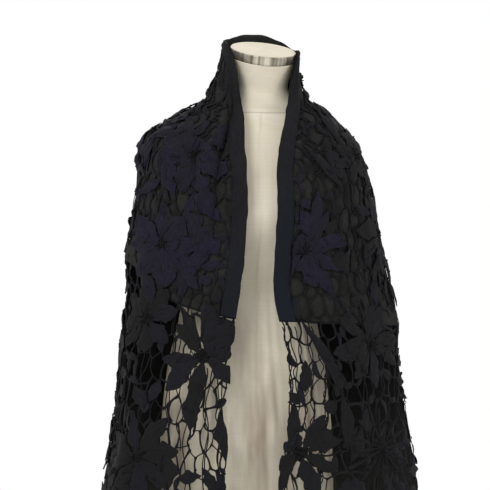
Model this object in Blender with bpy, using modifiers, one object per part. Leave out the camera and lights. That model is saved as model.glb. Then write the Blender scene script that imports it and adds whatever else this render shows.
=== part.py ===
"""A lace shawl worn open over the shoulders of a limbless dress form on a pole and a round base.

Metres, +Z up, the front facing -Y, the origin at the centre of the base's underside.
The cloth is one draped surface. Its lining, neck band and lace are walls laid on that surface,
each moved out by its own offset, and the lace is cut through along a net of irregular cells.
"""

import collections
import math

import bpy
import numpy as np
from mathutils import Euler, Vector
from mathutils.geometry import delaunay_2d_cdt

MM = 0.001

# Stand and dress form

BASE_RADIUS = 0.170
BASE_THICKNESS = 0.012
BASE_EDGE_RADIUS = 0.004
SOCKET_RADIUS = 0.022
SOCKET_TOP = 0.042
SOCKET_FLOOR = 0.006
POLE_RADIUS = 0.0125
FIT_GAP = 0.0003
TORSO_BOTTOM = 0.680
TORSO_SIDES = 32
TORSO_COLUMNS = ("z", "centre_x", "centre_y", "half_width", "front", "back", "tilt", "roll")
TORSO_MM = (
    (680, -16, 0, 148, 112, 116, 0, 0),
    (760, -20, 0, 151, 116, 124, 0, 0),
    (840, -21, 0, 148, 110, 123, 0, 0),
    (940, -21, 0, 137, 98, 103, 0, 0),
    (1040, -17, 0, 119, 84, 86, 0, 0),
    (1120, -14, 0, 126, 97, 91, 0, 0),
    (1200, -12, 0, 147, 124, 98, 0, 0),
    (1270, -8, 0, 158, 106, 99, 0, 0),
    (1318, -4, 0, 162, 88, 96, 0, 0),
    (1347.6, 0, -2, 151.5, 75, 87, 0, 0),
    (1365.6, 0, -5, 130.5, 67, 77, 0, 0),
    (1384, 0, -10, 99, 60, 68, 2, 0),
    (1403, 0, -18, 65, 54, 58, 6, 0),
    (1424, 0, -27, 48, 49, 52, 10, 1),
    (1448, 0, -34, 50, 51, 52, 15, 2),
    (1472, 0, -41, 55.5, 55.5, 55.5, 20, 3),
)
TORSO_ROUNDNESS = 0.92
NECK_RING_RADIUS = 0.0568
NECK_RING_WALL = 0.003
NECK_RING_HEIGHT = 0.015
NECK_CAP_RADIUS = 0.0531
NECK_CAP_RISE = 0.0015
NECK_CAP_FLAT = 0.6
ROUND_STEPS = 28

# Draped surface: a row for each ring, from the collar's edge to the hem

RING_COLUMNS = (
    "back_z", "left_z", "right_z", "front_z", "left", "right",
    "back_y", "front_y", "mid_y", "left_edge", "right_edge",
)
RINGS_MM = (
    (1522, 1503, 1487, 1470, 62, 59, 31, -112, -42, -60, 50),
    (1470, 1458, 1452, 1425, 71, 61, 38, -100, -36, -51, 41),
    (1418, 1405, 1403, 1386, 88, 77, 53, -94, -26, -44, 34),
    (1392, 1386, 1383, 1350, 115, 110, 78, -106, -12, -42, 25),
    (1358, 1363, 1355, 1310, 156, 145, 96, -120, -5, -44, 14),
    (1320, 1334, 1330, 1272, 197, 168, 108, -134, 0, -45, 7),
    (1272, 1296, 1297, 1235, 206, 181, 116, -146, 0, -45, 6),
    (1215, 1240, 1240, 1185, 210, 198, 122, -150, 0, -46, 5),
    (1140, 1160, 1160, 1125, 219, 211, 126, -148, 0, -50, 0.5),
    (1060, 1075, 1075, 1060, 225, 229, 130, -146, 0, -59, 1),
    (960, 965, 965, 960, 235, 242, 140, -150, 0, -74, 22),
    (860, 862, 862, 860, 243, 253, 150, -156, 0, -82, 22),
    (760, 760, 760, 760, 258, 271, 162, -164, 0, -81, 8),
    (640, 640, 640, 640, 280, 288, 175, -172, 0, -92, 11),
)
RING_ROUNDNESS = 0.88

# Folds: the turn is in degrees from the centre back, negative on the left front's side.
# A fold grows between two rings and fades before the last one named.

FOLD_COLUMNS = ("turn", "half_width", "height", "starts", "full", "fades", "lean")
FOLDS = (
    (-167, 8, 4, 8, 12, 99, 2),
    (-154, 8, 6, 3, 5, 99, 0),
    (-138, 10, -4, 5, 10, 99, 3),
    (-128, 12, 5, 1, 3, 6, -6),
    (-114, 10, 7, 8, 12, 99, 2),
    (-96, 10, -3, 7, 12, 99, 0),
    (-74, 12, 8, 7, 13, 99, 2),
    (-51, 11, -7, 6, 12, 99, 1),
    (-27, 12, 10, 6, 13, 99, -2),
    (-3, 11, -7, 7, 12, 99, 2),
    (21, 12, 10, 6, 13, 99, 3),
    (45, 11, -7, 6, 12, 99, -2),
    (69, 12, 7, 7, 13, 99, 2),
    (90, 10, -3, 8, 13, 99, 1),
    (108, 10, 5, 8, 12, 99, -2),
    (124, 12, 4, 2, 4, 7, 5),
    (133, 10, -4, 8, 12, 99, -2),
    (152, 9, 4, 5, 9, 99, -3),
)
FLARE_HEIGHT = 0.008
FLARE_HALF_WIDTH = 0.045
FLARE_RISE = 0.140
FLARE_DROP = 0.050

DENSE_RINGS = 260
DENSE_COLUMNS = 600
SURFACE_ROWS = 89
SURFACE_COLUMNS = 241

# Cloth pieces. A layer is its distance out from the draped surface and its thickness.

LINING_LAYER = (0.0, 0.0010)
BAND_LAYER = (0.0021, 0.0021)
LACE_LAYER = (0.0046, 0.0014)
BAND_WIDTH = 0.027
SEAM_GAP = 0.0005
NECK_CORNER_RADIUS = 0.045
OUTER_CORNER_ARC = 75
INNER_CORNER_ARC = 68
LINING_BOTTOM = 0.655
SPLITS = (0.27, 0.73)

# Edge of the lined part below the bands: the share of the way round from the left front edge, and the
# height. Its fourth point is the outer corner, where the edge turns down the side to the hem.

LEFT_LINING_EDGE = (
    (0.0, 1.028), (0.075, 1.046), (0.135, 1.075),
    (0.205, 1.129), (0.228, 0.900), (0.240, 0.640),
)
RIGHT_LINING_EDGE = (
    (1.0, 1.024), (0.930, 1.019), (0.860, 1.015),
    (0.800, 1.010), (0.776, 0.860), (0.762, 0.640),
)
OUTER_CORNER = 3

# Net: each cell is a hole between cords, and flowers and leaves lie over it. A flower of SPOKED_FROM
# petals or more is a disc with thin spokes.

CELL_ACROSS = 0.0200
CELL_DOWN = 0.0380
CELL_JITTER = 0.30
NET_SEED = 7
NET_WIDTH = 1.2
WEB_HALF_WIDTH = 0.0016
MOTIF_REACH = 0.080
SMALLEST_HOLE = 0.000110
CUT_HOLES = {"lace_yoke": 96, "lace_end_left": 60, "lace_end_right": 60}
HOLE_BORDER = 0.0040
SHORTEST_HOLE_SIDE = 0.0035

FLOWER_COLUMNS = ("round", "down", "petals", "petal_length", "angle")
FLOWERS = (
    (0.100, 0.225, 8, 0.060, 30),
    (0.300, 0.205, 8, 0.062, 0),
    (0.500, 0.190, 8, 0.060, 12),
    (0.700, 0.205, 8, 0.062, 20),
    (0.900, 0.225, 8, 0.060, 5),
    (0.130, 0.395, 8, 0.062, 15),
    (0.300, 0.390, 8, 0.066, 20),
    (0.460, 0.375, 16, 0.062, 0),
    (0.625, 0.385, 8, 0.066, 8),
    (0.795, 0.390, 8, 0.064, 25),
    (0.958, 0.383, 8, 0.068, 10),
    (0.037, 0.580, 8, 0.072, 0),
    (0.135, 0.525, 8, 0.050, 12),
    (0.250, 0.570, 8, 0.066, 0),
    (0.390, 0.560, 8, 0.068, 28),
    (0.540, 0.565, 8, 0.066, 18),
    (0.690, 0.560, 8, 0.068, 0),
    (0.865, 0.565, 8, 0.062, 5),
    (0.120, 0.755, 8, 0.070, 12),
    (0.265, 0.745, 16, 0.062, 0),
    (0.410, 0.755, 8, 0.070, 5),
    (0.555, 0.745, 8, 0.068, 22),
    (0.710, 0.755, 8, 0.070, 15),
    (0.858, 0.745, 16, 0.062, 0),
    (0.979, 0.745, 8, 0.070, 20),
)
PETAL_WIDTH = 0.022
SPOKE_WIDTH = 0.008
SPOKED_FROM = 12
FLOWER_DISC = 0.013
PETALS_START = 0.6
LEAF_LENGTH = 0.045
LEAF_WIDTH = 0.020
LEAF_DISTANCE = 0.102
LEAF_ANGLES = (38, 152, 262)
LEAF_SKEW = 0.5
LEAF_CLEARANCE = 0.090

# Meshes

SAME_EDGE = 0.001
SAME_PLACE = 1e-9
MERGE_DISTANCE = 1e-7
CORNER_STEP = 0.012
NECK_STEP = 0.016
NECK_END = 0.100
ACROSS_STEP = 0.026
DOWN_STEP = 0.022
LOWER_DOWN_STEP = 0.044
SHOULDERS_END = 0.260
EDGE_CLEARANCE = 0.008

Cloth = collections.namedtuple("Cloth", "points normals width fall")


def clear_scene():
    for obj in list(bpy.data.objects):
        bpy.data.objects.remove(obj, do_unlink=True)


def material(name, colour, roughness, metallic=0.0):
    made = bpy.data.materials.new(name)
    made.use_nodes = True
    shader = made.node_tree.nodes["Principled BSDF"]
    shader.inputs["Base Color"].default_value = (*colour, 1.0)
    shader.inputs["Roughness"].default_value = roughness
    shader.inputs["Metallic"].default_value = metallic
    return made


def add_mesh(name, points, faces, finish, collection, edges=()):
    mesh = bpy.data.meshes.new(name)
    mesh.from_pydata([tuple(map(float, point)) for point in points], edges, faces)
    mesh.materials.append(finish)
    obj = bpy.data.objects.new(name, mesh)
    collection.objects.link(obj)
    return obj


# Dress form and stand


def smooth(values, at):
    """A column of a table read between its rows, with no kink at a row."""
    first = np.clip(np.floor(at).astype(int), 0, len(values) - 2)
    part = at - first
    slope = np.gradient(values)
    start = (1 + 2 * part) * (1 - part) ** 2 * values[first] + part * (1 - part) ** 2 * slope[first]
    end = part**2 * (3 - 2 * part) * values[first + 1] + part**2 * (part - 1) * slope[first + 1]
    return start + end


def columns_of(names, rows, scale=1.0):
    return {name: np.array(values, float) * scale for name, values in zip(names, zip(*rows))}


def oval(turn, half_width, front, back, roundness):
    """Points of a rounded section. Turn 0 is the centre back, and a right angle is the right side."""
    sine, cosine = np.sin(turn), np.cos(turn)
    depth = np.where(cosine > 0, back, front)
    across = half_width * np.sign(sine) * np.abs(sine) ** roundness
    return across, depth * np.sign(cosine) * np.abs(cosine) ** roundness


def leaning(tilt, roll):
    """The turn of a section that tips forward and down to the right, in degrees."""
    return Euler((math.radians(tilt), math.radians(roll), 0.0)).to_matrix()


def make_torso(finish, collection):
    """A loft through the form's sections. The neck's sections tip forward."""
    torso = columns_of(TORSO_COLUMNS, TORSO_MM)
    angles = np.linspace(0, 2 * math.pi, TORSO_SIDES, endpoint=False)
    rows = []
    for row in range(len(TORSO_MM)):
        size = {name: values[row] * MM for name, values in torso.items()}
        across, along = oval(angles, size["half_width"], size["front"], size["back"], TORSO_ROUNDNESS)
        turn = leaning(torso["tilt"][row], torso["roll"][row])
        section = np.stack([across, along, np.zeros(TORSO_SIDES)], axis=1)
        rows.append(section @ np.array(turn).T + (size["centre_x"], size["centre_y"], size["z"]))
    points = np.concatenate(rows)
    faces = []
    for row in range(len(rows) - 1):
        for side in range(TORSO_SIDES):
            after = (side + 1) % TORSO_SIDES
            low, high = row * TORSO_SIDES, (row + 1) * TORSO_SIDES
            faces.append((low + after, low + side, high + side, high + after))
    faces.append(tuple(range(TORSO_SIDES)))
    faces.append(tuple(len(points) - 1 - side for side in range(TORSO_SIDES)))
    torso_object = add_mesh("form_torso", points, faces, finish, collection)
    torso_object.data.shade_smooth()
    return torso_object


def turned(name, profile, closed, finish, collection):
    """A profile at +X, running down its outer side, turned about Z."""
    points = [(x, 0, z) for x, z in profile]
    edges = [(i, i + 1) for i in range(len(points) - 1)]
    if closed:
        edges.append((len(points) - 1, 0))
    obj = add_mesh(name, points, [], finish, collection, edges)
    screw = obj.modifiers.new("Turn", "SCREW")
    screw.steps = screw.render_steps = ROUND_STEPS
    screw.use_merge_vertices = True
    screw.merge_threshold = 0.00001
    screw.use_smooth_shade = True
    return obj


def arc(centre_x, centre_z, radius, start, end, count):
    angles = np.radians(np.linspace(start, end, count))
    return [(centre_x + radius * math.cos(a), centre_z + radius * math.sin(a)) for a in angles]


def make_stand(steel, collection):
    socket_bore = POLE_RADIUS + FIT_GAP
    edge_x = BASE_RADIUS - BASE_EDGE_RADIUS
    profile = [(0.0, SOCKET_FLOOR), (socket_bore, SOCKET_FLOOR), (socket_bore, SOCKET_TOP)]
    profile += [(SOCKET_RADIUS, SOCKET_TOP), (SOCKET_RADIUS, BASE_THICKNESS)]
    profile += arc(edge_x, BASE_THICKNESS - BASE_EDGE_RADIUS, BASE_EDGE_RADIUS, 90, 0, 4)
    profile += [(BASE_RADIUS, 0.0), (0.0, 0.0)]
    turned("stand_base", profile, False, steel, collection)

    pole_bottom = SOCKET_FLOOR + FIT_GAP
    length = TORSO_BOTTOM - FIT_GAP - pole_bottom
    bpy.ops.mesh.primitive_cylinder_add(
        vertices=24, radius=POLE_RADIUS, depth=length, location=(0, 0, pole_bottom + length / 2)
    )
    pole = bpy.context.object
    pole.name = "stand_pole"
    pole.data.materials.append(steel)
    for owner in pole.users_collection:
        owner.objects.unlink(pole)
    collection.objects.link(pole)


def make_neck(steel, linen, collection):
    """The steel ring and the linen cap inside it, both square to the tipped end of the neck."""
    top = dict(zip(TORSO_COLUMNS, TORSO_MM[-1]))
    turn = leaning(top["tilt"], top["roll"])
    seat = Vector((0.0, top["centre_y"], top["z"])) * MM + turn @ Vector((0, 0, FIT_GAP))
    inner = NECK_RING_RADIUS - NECK_RING_WALL
    round_over = NECK_RING_WALL / 2
    ring_profile = [(inner, 0.0), (inner, NECK_RING_HEIGHT - round_over)]
    ring_profile += arc(inner + round_over, NECK_RING_HEIGHT - round_over, round_over, 150, 0, 5)
    ring_profile += [(NECK_RING_RADIUS, 0.0)]
    cap_top = NECK_RING_HEIGHT + NECK_CAP_RISE
    cap_profile = [(0.0, cap_top), (NECK_CAP_FLAT * NECK_CAP_RADIUS, cap_top)]
    cap_profile += [(NECK_CAP_RADIUS - 1 * MM, NECK_RING_HEIGHT - 1 * MM)]
    cap_profile += [(NECK_CAP_RADIUS, NECK_RING_HEIGHT - 3 * MM)]
    cap_profile += [(NECK_CAP_RADIUS, 0.0), (0.0, 0.0)]
    ring = turned("form_neck_ring", ring_profile, True, steel, collection)
    cap = turned("form_neck_cap", cap_profile, False, linen, collection)
    for piece in (ring, cap):
        piece.location = seat
        piece.rotation_euler = turn.to_euler()


# Draped surface


def eased(values):
    share = np.clip(values, 0, 1)
    return share * share * (3 - 2 * share)


def fold_heights(turn, level):
    folds = columns_of(FOLD_COLUMNS, FOLDS)
    height = np.zeros_like(turn)
    for i in range(len(FOLDS)):
        grown = eased((level - folds["starts"][i]) / (folds["full"][i] - folds["starts"][i]))
        left = 1 - eased((level - folds["fades"][i] + 2) / 2)
        middle = folds["turn"][i] + folds["lean"][i] * grown
        away = (np.degrees(turn) - middle) / folds["half_width"][i]
        height += folds["height"][i] * MM * grown * left * np.exp(-(away**2))
    return height


def even_columns(points):
    """Each ring's points spaced evenly along it, and the rings' lengths."""
    steps = np.linalg.norm(np.diff(points, axis=1), axis=2)
    along = np.concatenate([np.zeros((len(points), 1)), np.cumsum(steps, axis=1)], axis=1)
    share = np.linspace(0, 1, SURFACE_COLUMNS)
    rings = [
        np.stack([np.interp(share * ring[-1], ring, axis) for axis in ring_points.T], axis=1)
        for ring, ring_points in zip(along, points)
    ]
    return np.array(rings), along[:, -1]


def normals_of(points):
    down = np.gradient(points, axis=0)
    across = np.gradient(points, axis=1)
    normals = np.cross(across, down)
    return normals / np.linalg.norm(normals, axis=2, keepdims=True)


def edge_turn(share):
    """The turn from the centre back to a front edge, from the edge's share of the ring's reach."""
    return math.pi - np.sign(share) * np.arcsin(np.abs(share) ** (1 / RING_ROUNDNESS))


def drape():
    """The surface under the cloth, from the left front edge round the back to the right front edge."""
    level = np.linspace(0, len(RINGS_MM) - 1, DENSE_RINGS)
    ring = {
        name: smooth(values, level)[:, None]
        for name, values in columns_of(RING_COLUMNS, RINGS_MM, MM).items()
    }
    left_end = edge_turn(-ring["left_edge"] / ring["left"])
    right_end = edge_turn(ring["right_edge"] / ring["right"])
    turn = -left_end + (left_end + right_end) * np.linspace(0, 1, DENSE_COLUMNS)
    reach = np.where(turn < 0, ring["left"], ring["right"])
    front, back = ring["mid_y"] - ring["front_y"], ring["back_y"] - ring["mid_y"]
    x, depth = oval(turn, reach, front, back, RING_ROUNDNESS)
    end_z = np.where(np.cos(turn) > 0, ring["back_z"], ring["front_z"])
    side_z = np.where(turn < 0, ring["left_z"], ring["right_z"])
    z = side_z + (end_z - side_z) * np.cos(turn) ** 2
    out = 1 + fold_heights(turn, level[:, None]) / np.hypot(x, depth)
    rings, width = even_columns(np.stack([x * out, ring["mid_y"] + depth * out, z], axis=2))

    steps = np.linalg.norm(np.diff(rings, axis=0), axis=2).mean(axis=1)
    down = np.concatenate([[0], np.cumsum(steps)])
    even = np.linspace(0, down[-1], SURFACE_ROWS)
    points = np.empty((SURFACE_ROWS, SURFACE_COLUMNS, 3))
    for column in range(SURFACE_COLUMNS):
        for axis in range(3):
            points[:, column, axis] = np.interp(even, down, rings[:, column, axis])
    cloth = Cloth(points, normals_of(points), np.interp(even, down, width), down[-1])
    return flared(cloth)


def flared(cloth):
    """The lining's outer corners hold the cloth out at the sides, and the lace below steps back in."""
    height = np.zeros(cloth.points.shape[:2])
    share = np.linspace(0, 1, SURFACE_COLUMNS)
    for corner in (LEFT_LINING_EDGE[OUTER_CORNER], RIGHT_LINING_EDGE[OUTER_CORNER]):
        corner_down = down_at(cloth, *corner)
        down = np.linspace(0, cloth.fall, SURFACE_ROWS) - corner_down
        rise = eased(1 + down / FLARE_RISE) * eased((FLARE_DROP - down) / FLARE_DROP)
        spread = np.exp(-(((share - corner[0]) / FLARE_HALF_WIDTH) ** 2))
        height += FLARE_HEIGHT * rise[:, None] * spread
    points = cloth.points + height[:, :, None] * cloth.normals
    return cloth._replace(points=points, normals=normals_of(points))


def down_at(cloth, round_share, z):
    """How far down the cloth its surface reaches a height, on the column at a share of the way round."""
    column = int(round(round_share * (SURFACE_COLUMNS - 1)))
    heights = cloth.points[:, column, 2]
    return float(np.interp(-z, -heights, np.linspace(0, cloth.fall, SURFACE_ROWS)))


def width_at(cloth, down):
    return np.interp(down, np.linspace(0, cloth.fall, SURFACE_ROWS), cloth.width)


def laid(cloth, flat, offset):
    """Points in space of flat points (from the centre back, down), moved out by an offset."""
    flat = np.asarray(flat, float)
    down = np.clip(flat[:, 1], 0, cloth.fall)
    share = np.clip(0.5 + flat[:, 0] / width_at(cloth, down), 0, 1)
    row, column = down / cloth.fall * (SURFACE_ROWS - 1), share * (SURFACE_COLUMNS - 1)
    i = np.minimum(row.astype(int), SURFACE_ROWS - 2)
    j = np.minimum(column.astype(int), SURFACE_COLUMNS - 2)
    below, after = (row - i)[:, None], (column - j)[:, None]

    def blended(grid):
        upper = grid[i, j] * (1 - after) + grid[i, j + 1] * after
        lower = grid[i + 1, j] * (1 - after) + grid[i + 1, j + 1] * after
        return upper * (1 - below) + lower * below

    normal = blended(cloth.normals)
    return blended(cloth.points) + offset * normal / np.linalg.norm(normal, axis=1, keepdims=True)


# Flat outlines of the pieces


def flat_point(cloth, share, down):
    return ((share - 0.5) * float(width_at(cloth, down)), down)


def spaced(points, step=ACROSS_STEP):
    """A path with more points on its long sides."""
    path = [points[0]]
    for start, end in zip(points, points[1:]):
        count = max(1, math.ceil(math.dist(start, end) / step))
        path += [tuple(np.add(start, np.subtract(end, start) * i / count)) for i in range(1, count + 1)]
    return path


def lined_edge(cloth, edge):
    """The lined part's edge on one front, from the front edge round to the side and down to the hem."""
    corners = [flat_point(cloth, share, down_at(cloth, share, z)) for share, z in edge[:-1]]
    return spaced(corners + [flat_point(cloth, edge[-1][0], cloth.fall)])


def band_end(cloth, edge, inset):
    """How far down a band ends, at a distance in from the front edge."""
    path = np.array(lined_edge(cloth, edge)[:4])
    return float(np.interp(inset, np.abs(path[:, 0] - path[0, 0]), path[:, 1]))


def neckline(cloth, inset):
    """Up the left front edge, round behind the neck and down the right front edge."""

    def side(sign, edge):
        end = band_end(cloth, edge, inset)
        downs = np.linspace(NECK_CORNER_RADIUS, end, math.ceil((end - NECK_CORNER_RADIUS) / DOWN_STEP) + 1)
        path = [(inset, down) for down in downs[::-1]]
        radius = NECK_CORNER_RADIUS - inset
        span = OUTER_CORNER_ARC if inset == 0 else INNER_CORNER_ARC
        corner = arc(0, 0, radius, 90 + span, 90, math.ceil(radius * math.radians(span) / CORNER_STEP) + 1)
        path += [(NECK_CORNER_RADIUS + x, NECK_CORNER_RADIUS - z) for x, z in corner]
        return [(sign * (float(width_at(cloth, down)) / 2 - across), down) for across, down in path]

    left, right = side(-1, LEFT_LINING_EDGE), side(1, RIGHT_LINING_EDGE)[::-1]
    return left + spaced([left[-1], right[0]], NECK_STEP)[1:-1] + right


def lined_outline(cloth, inset):
    """The whole lined part down to the hem, with its neck edge moved in by an inset."""
    top = neckline(cloth, inset)
    left_limit, right_limit = top[0][0] + EDGE_CLEARANCE, top[-1][0] - EDGE_CLEARANCE
    left = [point for point in lined_edge(cloth, LEFT_LINING_EDGE) if point[0] > left_limit]
    right = [point for point in lined_edge(cloth, RIGHT_LINING_EDGE) if point[0] < right_limit]
    return top + right + spaced([right[-1], left[-1]])[1:-1] + left[::-1]


def end_outline(cloth, edge):
    """The unlined lace at one front, from the lined part's edge down to the hem."""
    share = edge[0][0]
    outward = 1 if share > 0.5 else -1
    upper = [(x + outward * SEAM_GAP, down + SEAM_GAP) for x, down in lined_edge(cloth, edge)]
    upper[0] = flat_point(cloth, share, upper[0][1])
    upper[-1] = (upper[-1][0], cloth.fall)
    downs = np.linspace(upper[0][1], cloth.fall, math.ceil((cloth.fall - upper[0][1]) / DOWN_STEP))
    front = [flat_point(cloth, share, down) for down in downs]
    return front + spaced([front[-1], upper[-1]])[1:-1] + upper[::-1][:-1]


def part_between(cloth, outline, first, last):
    """The part of an outline between two shares of the way round."""
    shares = [tuple(p) for p in in_shares(cloth, (0.5, 0.0), np.array(outline))]
    if first > 0:
        shares = clipped(shares, (first, 0.0), (1.0, 0.0))
    if last < 1:
        shares = clipped(shares, (last, 0.0), (-1.0, 0.0))
    path = []
    for (share, down), (after_share, after_down) in zip(shares, shares[1:] + shares[:1]):
        path.append(flat_point(cloth, share, down))
        from_cut = min(abs(share - first), abs(share - last))
        along_cut = max(from_cut, abs(share - after_share)) < SAME_PLACE
        count = max(1, math.ceil(abs(after_down - down) / DOWN_STEP)) if along_cut else 1
        downs = [down + (after_down - down) * i / count for i in range(1, count)]
        path += [flat_point(cloth, share, between) for between in downs]
    cuts = [(first, SEAM_GAP / 2), (last, -SEAM_GAP / 2)]
    for cut, gap in cuts:
        on_cut = [0 < cut < 1 and abs(x - flat_point(cloth, cut, down)[0]) < SAME_PLACE for x, down in path]
        path = [(x + gap, down) if moved else (x, down) for (x, down), moved in zip(path, on_cut)]
    return path


def above(cloth, outline, z):
    """An outline cut level at a height near the hem. Points along the cut let it follow the drape."""
    level = down_at(cloth, 0.5, z)
    outline = clipped(outline, (0.0, level), (0.0, -1.0))
    path = []
    for start, end in zip(outline, outline[1:] + outline[:1]):
        on_cut = max(abs(start[1] - level), abs(end[1] - level)) < SAME_PLACE
        path += spaced([start, end])[:-1] if on_cut else [start]
    return path


def clipped(outline, point, inward):
    """The part of a flat outline on one side of a line."""
    heights = [(p[0] - point[0]) * inward[0] + (p[1] - point[1]) * inward[1] for p in outline]
    kept = []
    for i, height in enumerate(heights):
        last = heights[i - 1]
        if (height >= 0) != (last >= 0):
            share = last / (last - height)
            kept.append(tuple(np.add(outline[i - 1], np.subtract(outline[i], outline[i - 1]) * share)))
        if height >= 0:
            kept.append(outline[i])
    return kept


def enclosed(points, outline):
    points, outline = np.asarray(points, float), np.asarray(outline, float)
    after = np.roll(outline, -1, axis=0)
    x, y = points[:, :1], points[:, 1:]
    spans = (outline[:, 1] > y) != (after[:, 1] > y)
    rise = np.where(spans, after[:, 1] - outline[:, 1], 1.0)
    crossing = outline[:, 0] + (y - outline[:, 1]) / rise * (after[:, 0] - outline[:, 0])
    return (spans & (x < crossing)).sum(axis=1) % 2 == 1


def edge_distances(points, outline):
    points, outline = np.asarray(points, float), np.asarray(outline, float)
    side = np.roll(outline, -1, axis=0) - outline
    from_start = points[:, None, :] - outline[None, :, :]
    share = np.clip((from_start * side).sum(axis=2) / np.maximum((side**2).sum(axis=1), 1e-12), 0, 1)
    return np.linalg.norm(from_start - share[:, :, None] * side, axis=2).min(axis=1)


# Net, flowers and leaves


def in_metres(cloth, origin, points):
    """Distances across and down from an origin, of points given as a share round and a distance down."""
    points = np.asarray(points, float)
    across = (points[:, 0] - origin[0]) * width_at(cloth, points[:, 1])
    return np.stack([across, points[:, 1] - origin[1]], axis=1)


def in_shares(cloth, origin, points):
    down = origin[1] + points[:, 1]
    return np.stack([origin[0] + points[:, 0] / width_at(cloth, down), down], axis=1)


def motifs(cloth):
    """Each petal, leaf and disc as an ellipse: share round, down, half length, half width and angle."""
    flowers = columns_of(FLOWER_COLUMNS, FLOWERS)
    centres = np.stack([flowers["round"], flowers["down"]], axis=1)
    found = []
    for i, centre in enumerate(centres):
        petals, length = int(flowers["petals"][i]), flowers["petal_length"][i]
        width = PETAL_WIDTH if petals < SPOKED_FROM else SPOKE_WIDTH
        found.append((*centre, FLOWER_DISC, FLOWER_DISC, 0.0))
        reach = FLOWER_DISC * PETALS_START + length / 2
        angles = math.radians(flowers["angle"][i]) + 2 * math.pi * np.arange(petals) / petals
        middles = in_shares(cloth, centre, reach * np.stack([np.cos(angles), np.sin(angles)], axis=1))
        found += [(*middle, length / 2, width / 2, angle) for middle, angle in zip(middles, angles)]
        for turn in LEAF_ANGLES:
            angle = math.radians(turn + flowers["angle"][i])
            leaf = np.array([[math.cos(angle), math.sin(angle)]]) * LEAF_DISTANCE
            leaf = in_shares(cloth, centre, leaf)[0]
            if np.hypot(*in_metres(cloth, leaf, centres).T).min() > LEAF_CLEARANCE:
                found.append((*leaf, LEAF_LENGTH / 2, LEAF_WIDTH / 2, angle + LEAF_SKEW))
    return np.array(found)


def net_seeds(cloth):
    """Staggered, uneven points, one for each cell, as a share round and a distance down."""
    chance = np.random.default_rng(NET_SEED)
    seeds = []
    for row in range(-1, math.ceil(cloth.fall / CELL_DOWN) + 2):
        down = row * CELL_DOWN
        count = round(float(width_at(cloth, down)) / CELL_ACROSS)
        across = (np.arange(-1, count + 2) + 0.5 * (row % 2)) / count
        across = across + chance.uniform(-CELL_JITTER, CELL_JITTER, len(across)) / count
        drop = down + chance.uniform(-CELL_JITTER, CELL_JITTER, len(across)) * CELL_DOWN
        seeds.append(np.stack([across, drop], axis=1))
    return np.concatenate(seeds)


def net_cells(cloth):
    """Each cell's corners round a seed: the circumcentres of the triangles that meet there."""
    stretch = np.array([NET_WIDTH * CELL_DOWN / CELL_ACROSS, 1.0])
    seeds = [tuple(p) for p in net_seeds(cloth) * stretch]
    points, _, triangles, _, _, _ = delaunay_2d_cdt(seeds, [], [], 0, MERGE_DISTANCE)
    points = np.array([tuple(p) for p in points])
    corners = np.array(triangles)
    a, b, c = points[corners[:, 0]], points[corners[:, 1]], points[corners[:, 2]]
    b, c = b - a, c - a
    twice = 2 * (b[:, 0] * c[:, 1] - b[:, 1] * c[:, 0])
    bb, cc = (b**2).sum(axis=1), (c**2).sum(axis=1)
    turned_about = np.stack([c[:, 1] * bb - b[:, 1] * cc, b[:, 0] * cc - c[:, 0] * bb], axis=1)
    centres = a + turned_about / twice[:, None]

    meeting = collections.defaultdict(list)
    for triangle, three in enumerate(corners):
        for corner in three:
            meeting[corner].append(triangle)
    cells = []
    for corner, around in meeting.items():
        towards = centres[around] - points[corner]
        order = np.argsort(np.arctan2(towards[:, 1], towards[:, 0]))
        if len(around) > 2:
            cells.append(centres[np.array(around)[order]] / stretch)
    return cells


def hole_in(cloth, cell, ellipses):
    """The gap in a cell, in the flat: inside its cords and clear of petals and leaves."""
    middle = cell.mean(axis=0)
    corners = in_metres(cloth, middle, cell)
    hole = [tuple(p) for p in corners]
    for start, end in zip(corners, np.roll(corners, -1, axis=0)):
        side = end - start
        length = np.linalg.norm(side)
        if length < MERGE_DISTANCE:
            continue
        inward = np.array([-side[1], side[0]]) / length
        hole = clipped(hole, start + inward * WEB_HALF_WIDTH, inward)
        if len(hole) < 3:
            return []
    centres = in_metres(cloth, middle, ellipses[:, :2])
    for place, (_, _, half_length, half_width, angle) in zip(centres, ellipses):
        if np.hypot(*place) > MOTIF_REACH:
            continue
        along = np.array([math.cos(angle), math.sin(angle)])
        beside = np.array([-along[1], along[0]])
        local = np.array([-place @ along / half_length, -place @ beside / half_width])
        reach = np.linalg.norm(local)
        if reach < 1:
            return []
        local = local / reach
        touch = place + along * half_length * local[0] + beside * half_width * local[1]
        outward = along * local[0] / half_length + beside * local[1] / half_width
        outward = outward / np.linalg.norm(outward)
        hole = clipped(hole, touch + outward * WEB_HALF_WIDTH, outward)
        if len(hole) < 3:
            return []
    shares = in_shares(cloth, middle, np.array(shortened(hole)).reshape(-1, 2))
    return [flat_point(cloth, share, down) for share, down in shares]


def shortened(hole):
    """A hole without its very short sides."""
    kept = []
    for point in hole:
        if not kept or math.dist(point, kept[-1]) > SHORTEST_HOLE_SIDE:
            kept.append(point)
    if len(kept) > 1 and math.dist(kept[0], kept[-1]) < SHORTEST_HOLE_SIDE:
        kept.pop()
    return kept


def area_of(outline):
    x, y = np.array(outline).T
    return abs(np.dot(x, np.roll(y, -1)) - np.dot(y, np.roll(x, -1))) / 2


def lace_holes(cloth, outlines):
    """The largest gaps of the net, for each lace piece that holds them whole."""
    ellipses = motifs(cloth)
    found = {name: [] for name in outlines}
    for cell in net_cells(cloth):
        hole = hole_in(cloth, cell, ellipses)
        if len(hole) < 3 or area_of(hole) < SMALLEST_HOLE:
            continue
        for name, outline in outlines.items():
            if enclosed(hole, outline).all() and edge_distances(hole, outline).min() > HOLE_BORDER:
                found[name].append(hole)
    for name, holes in found.items():
        holes.sort(key=area_of, reverse=True)
        del holes[CUT_HOLES[name]:]
    return found


# Walls


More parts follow.
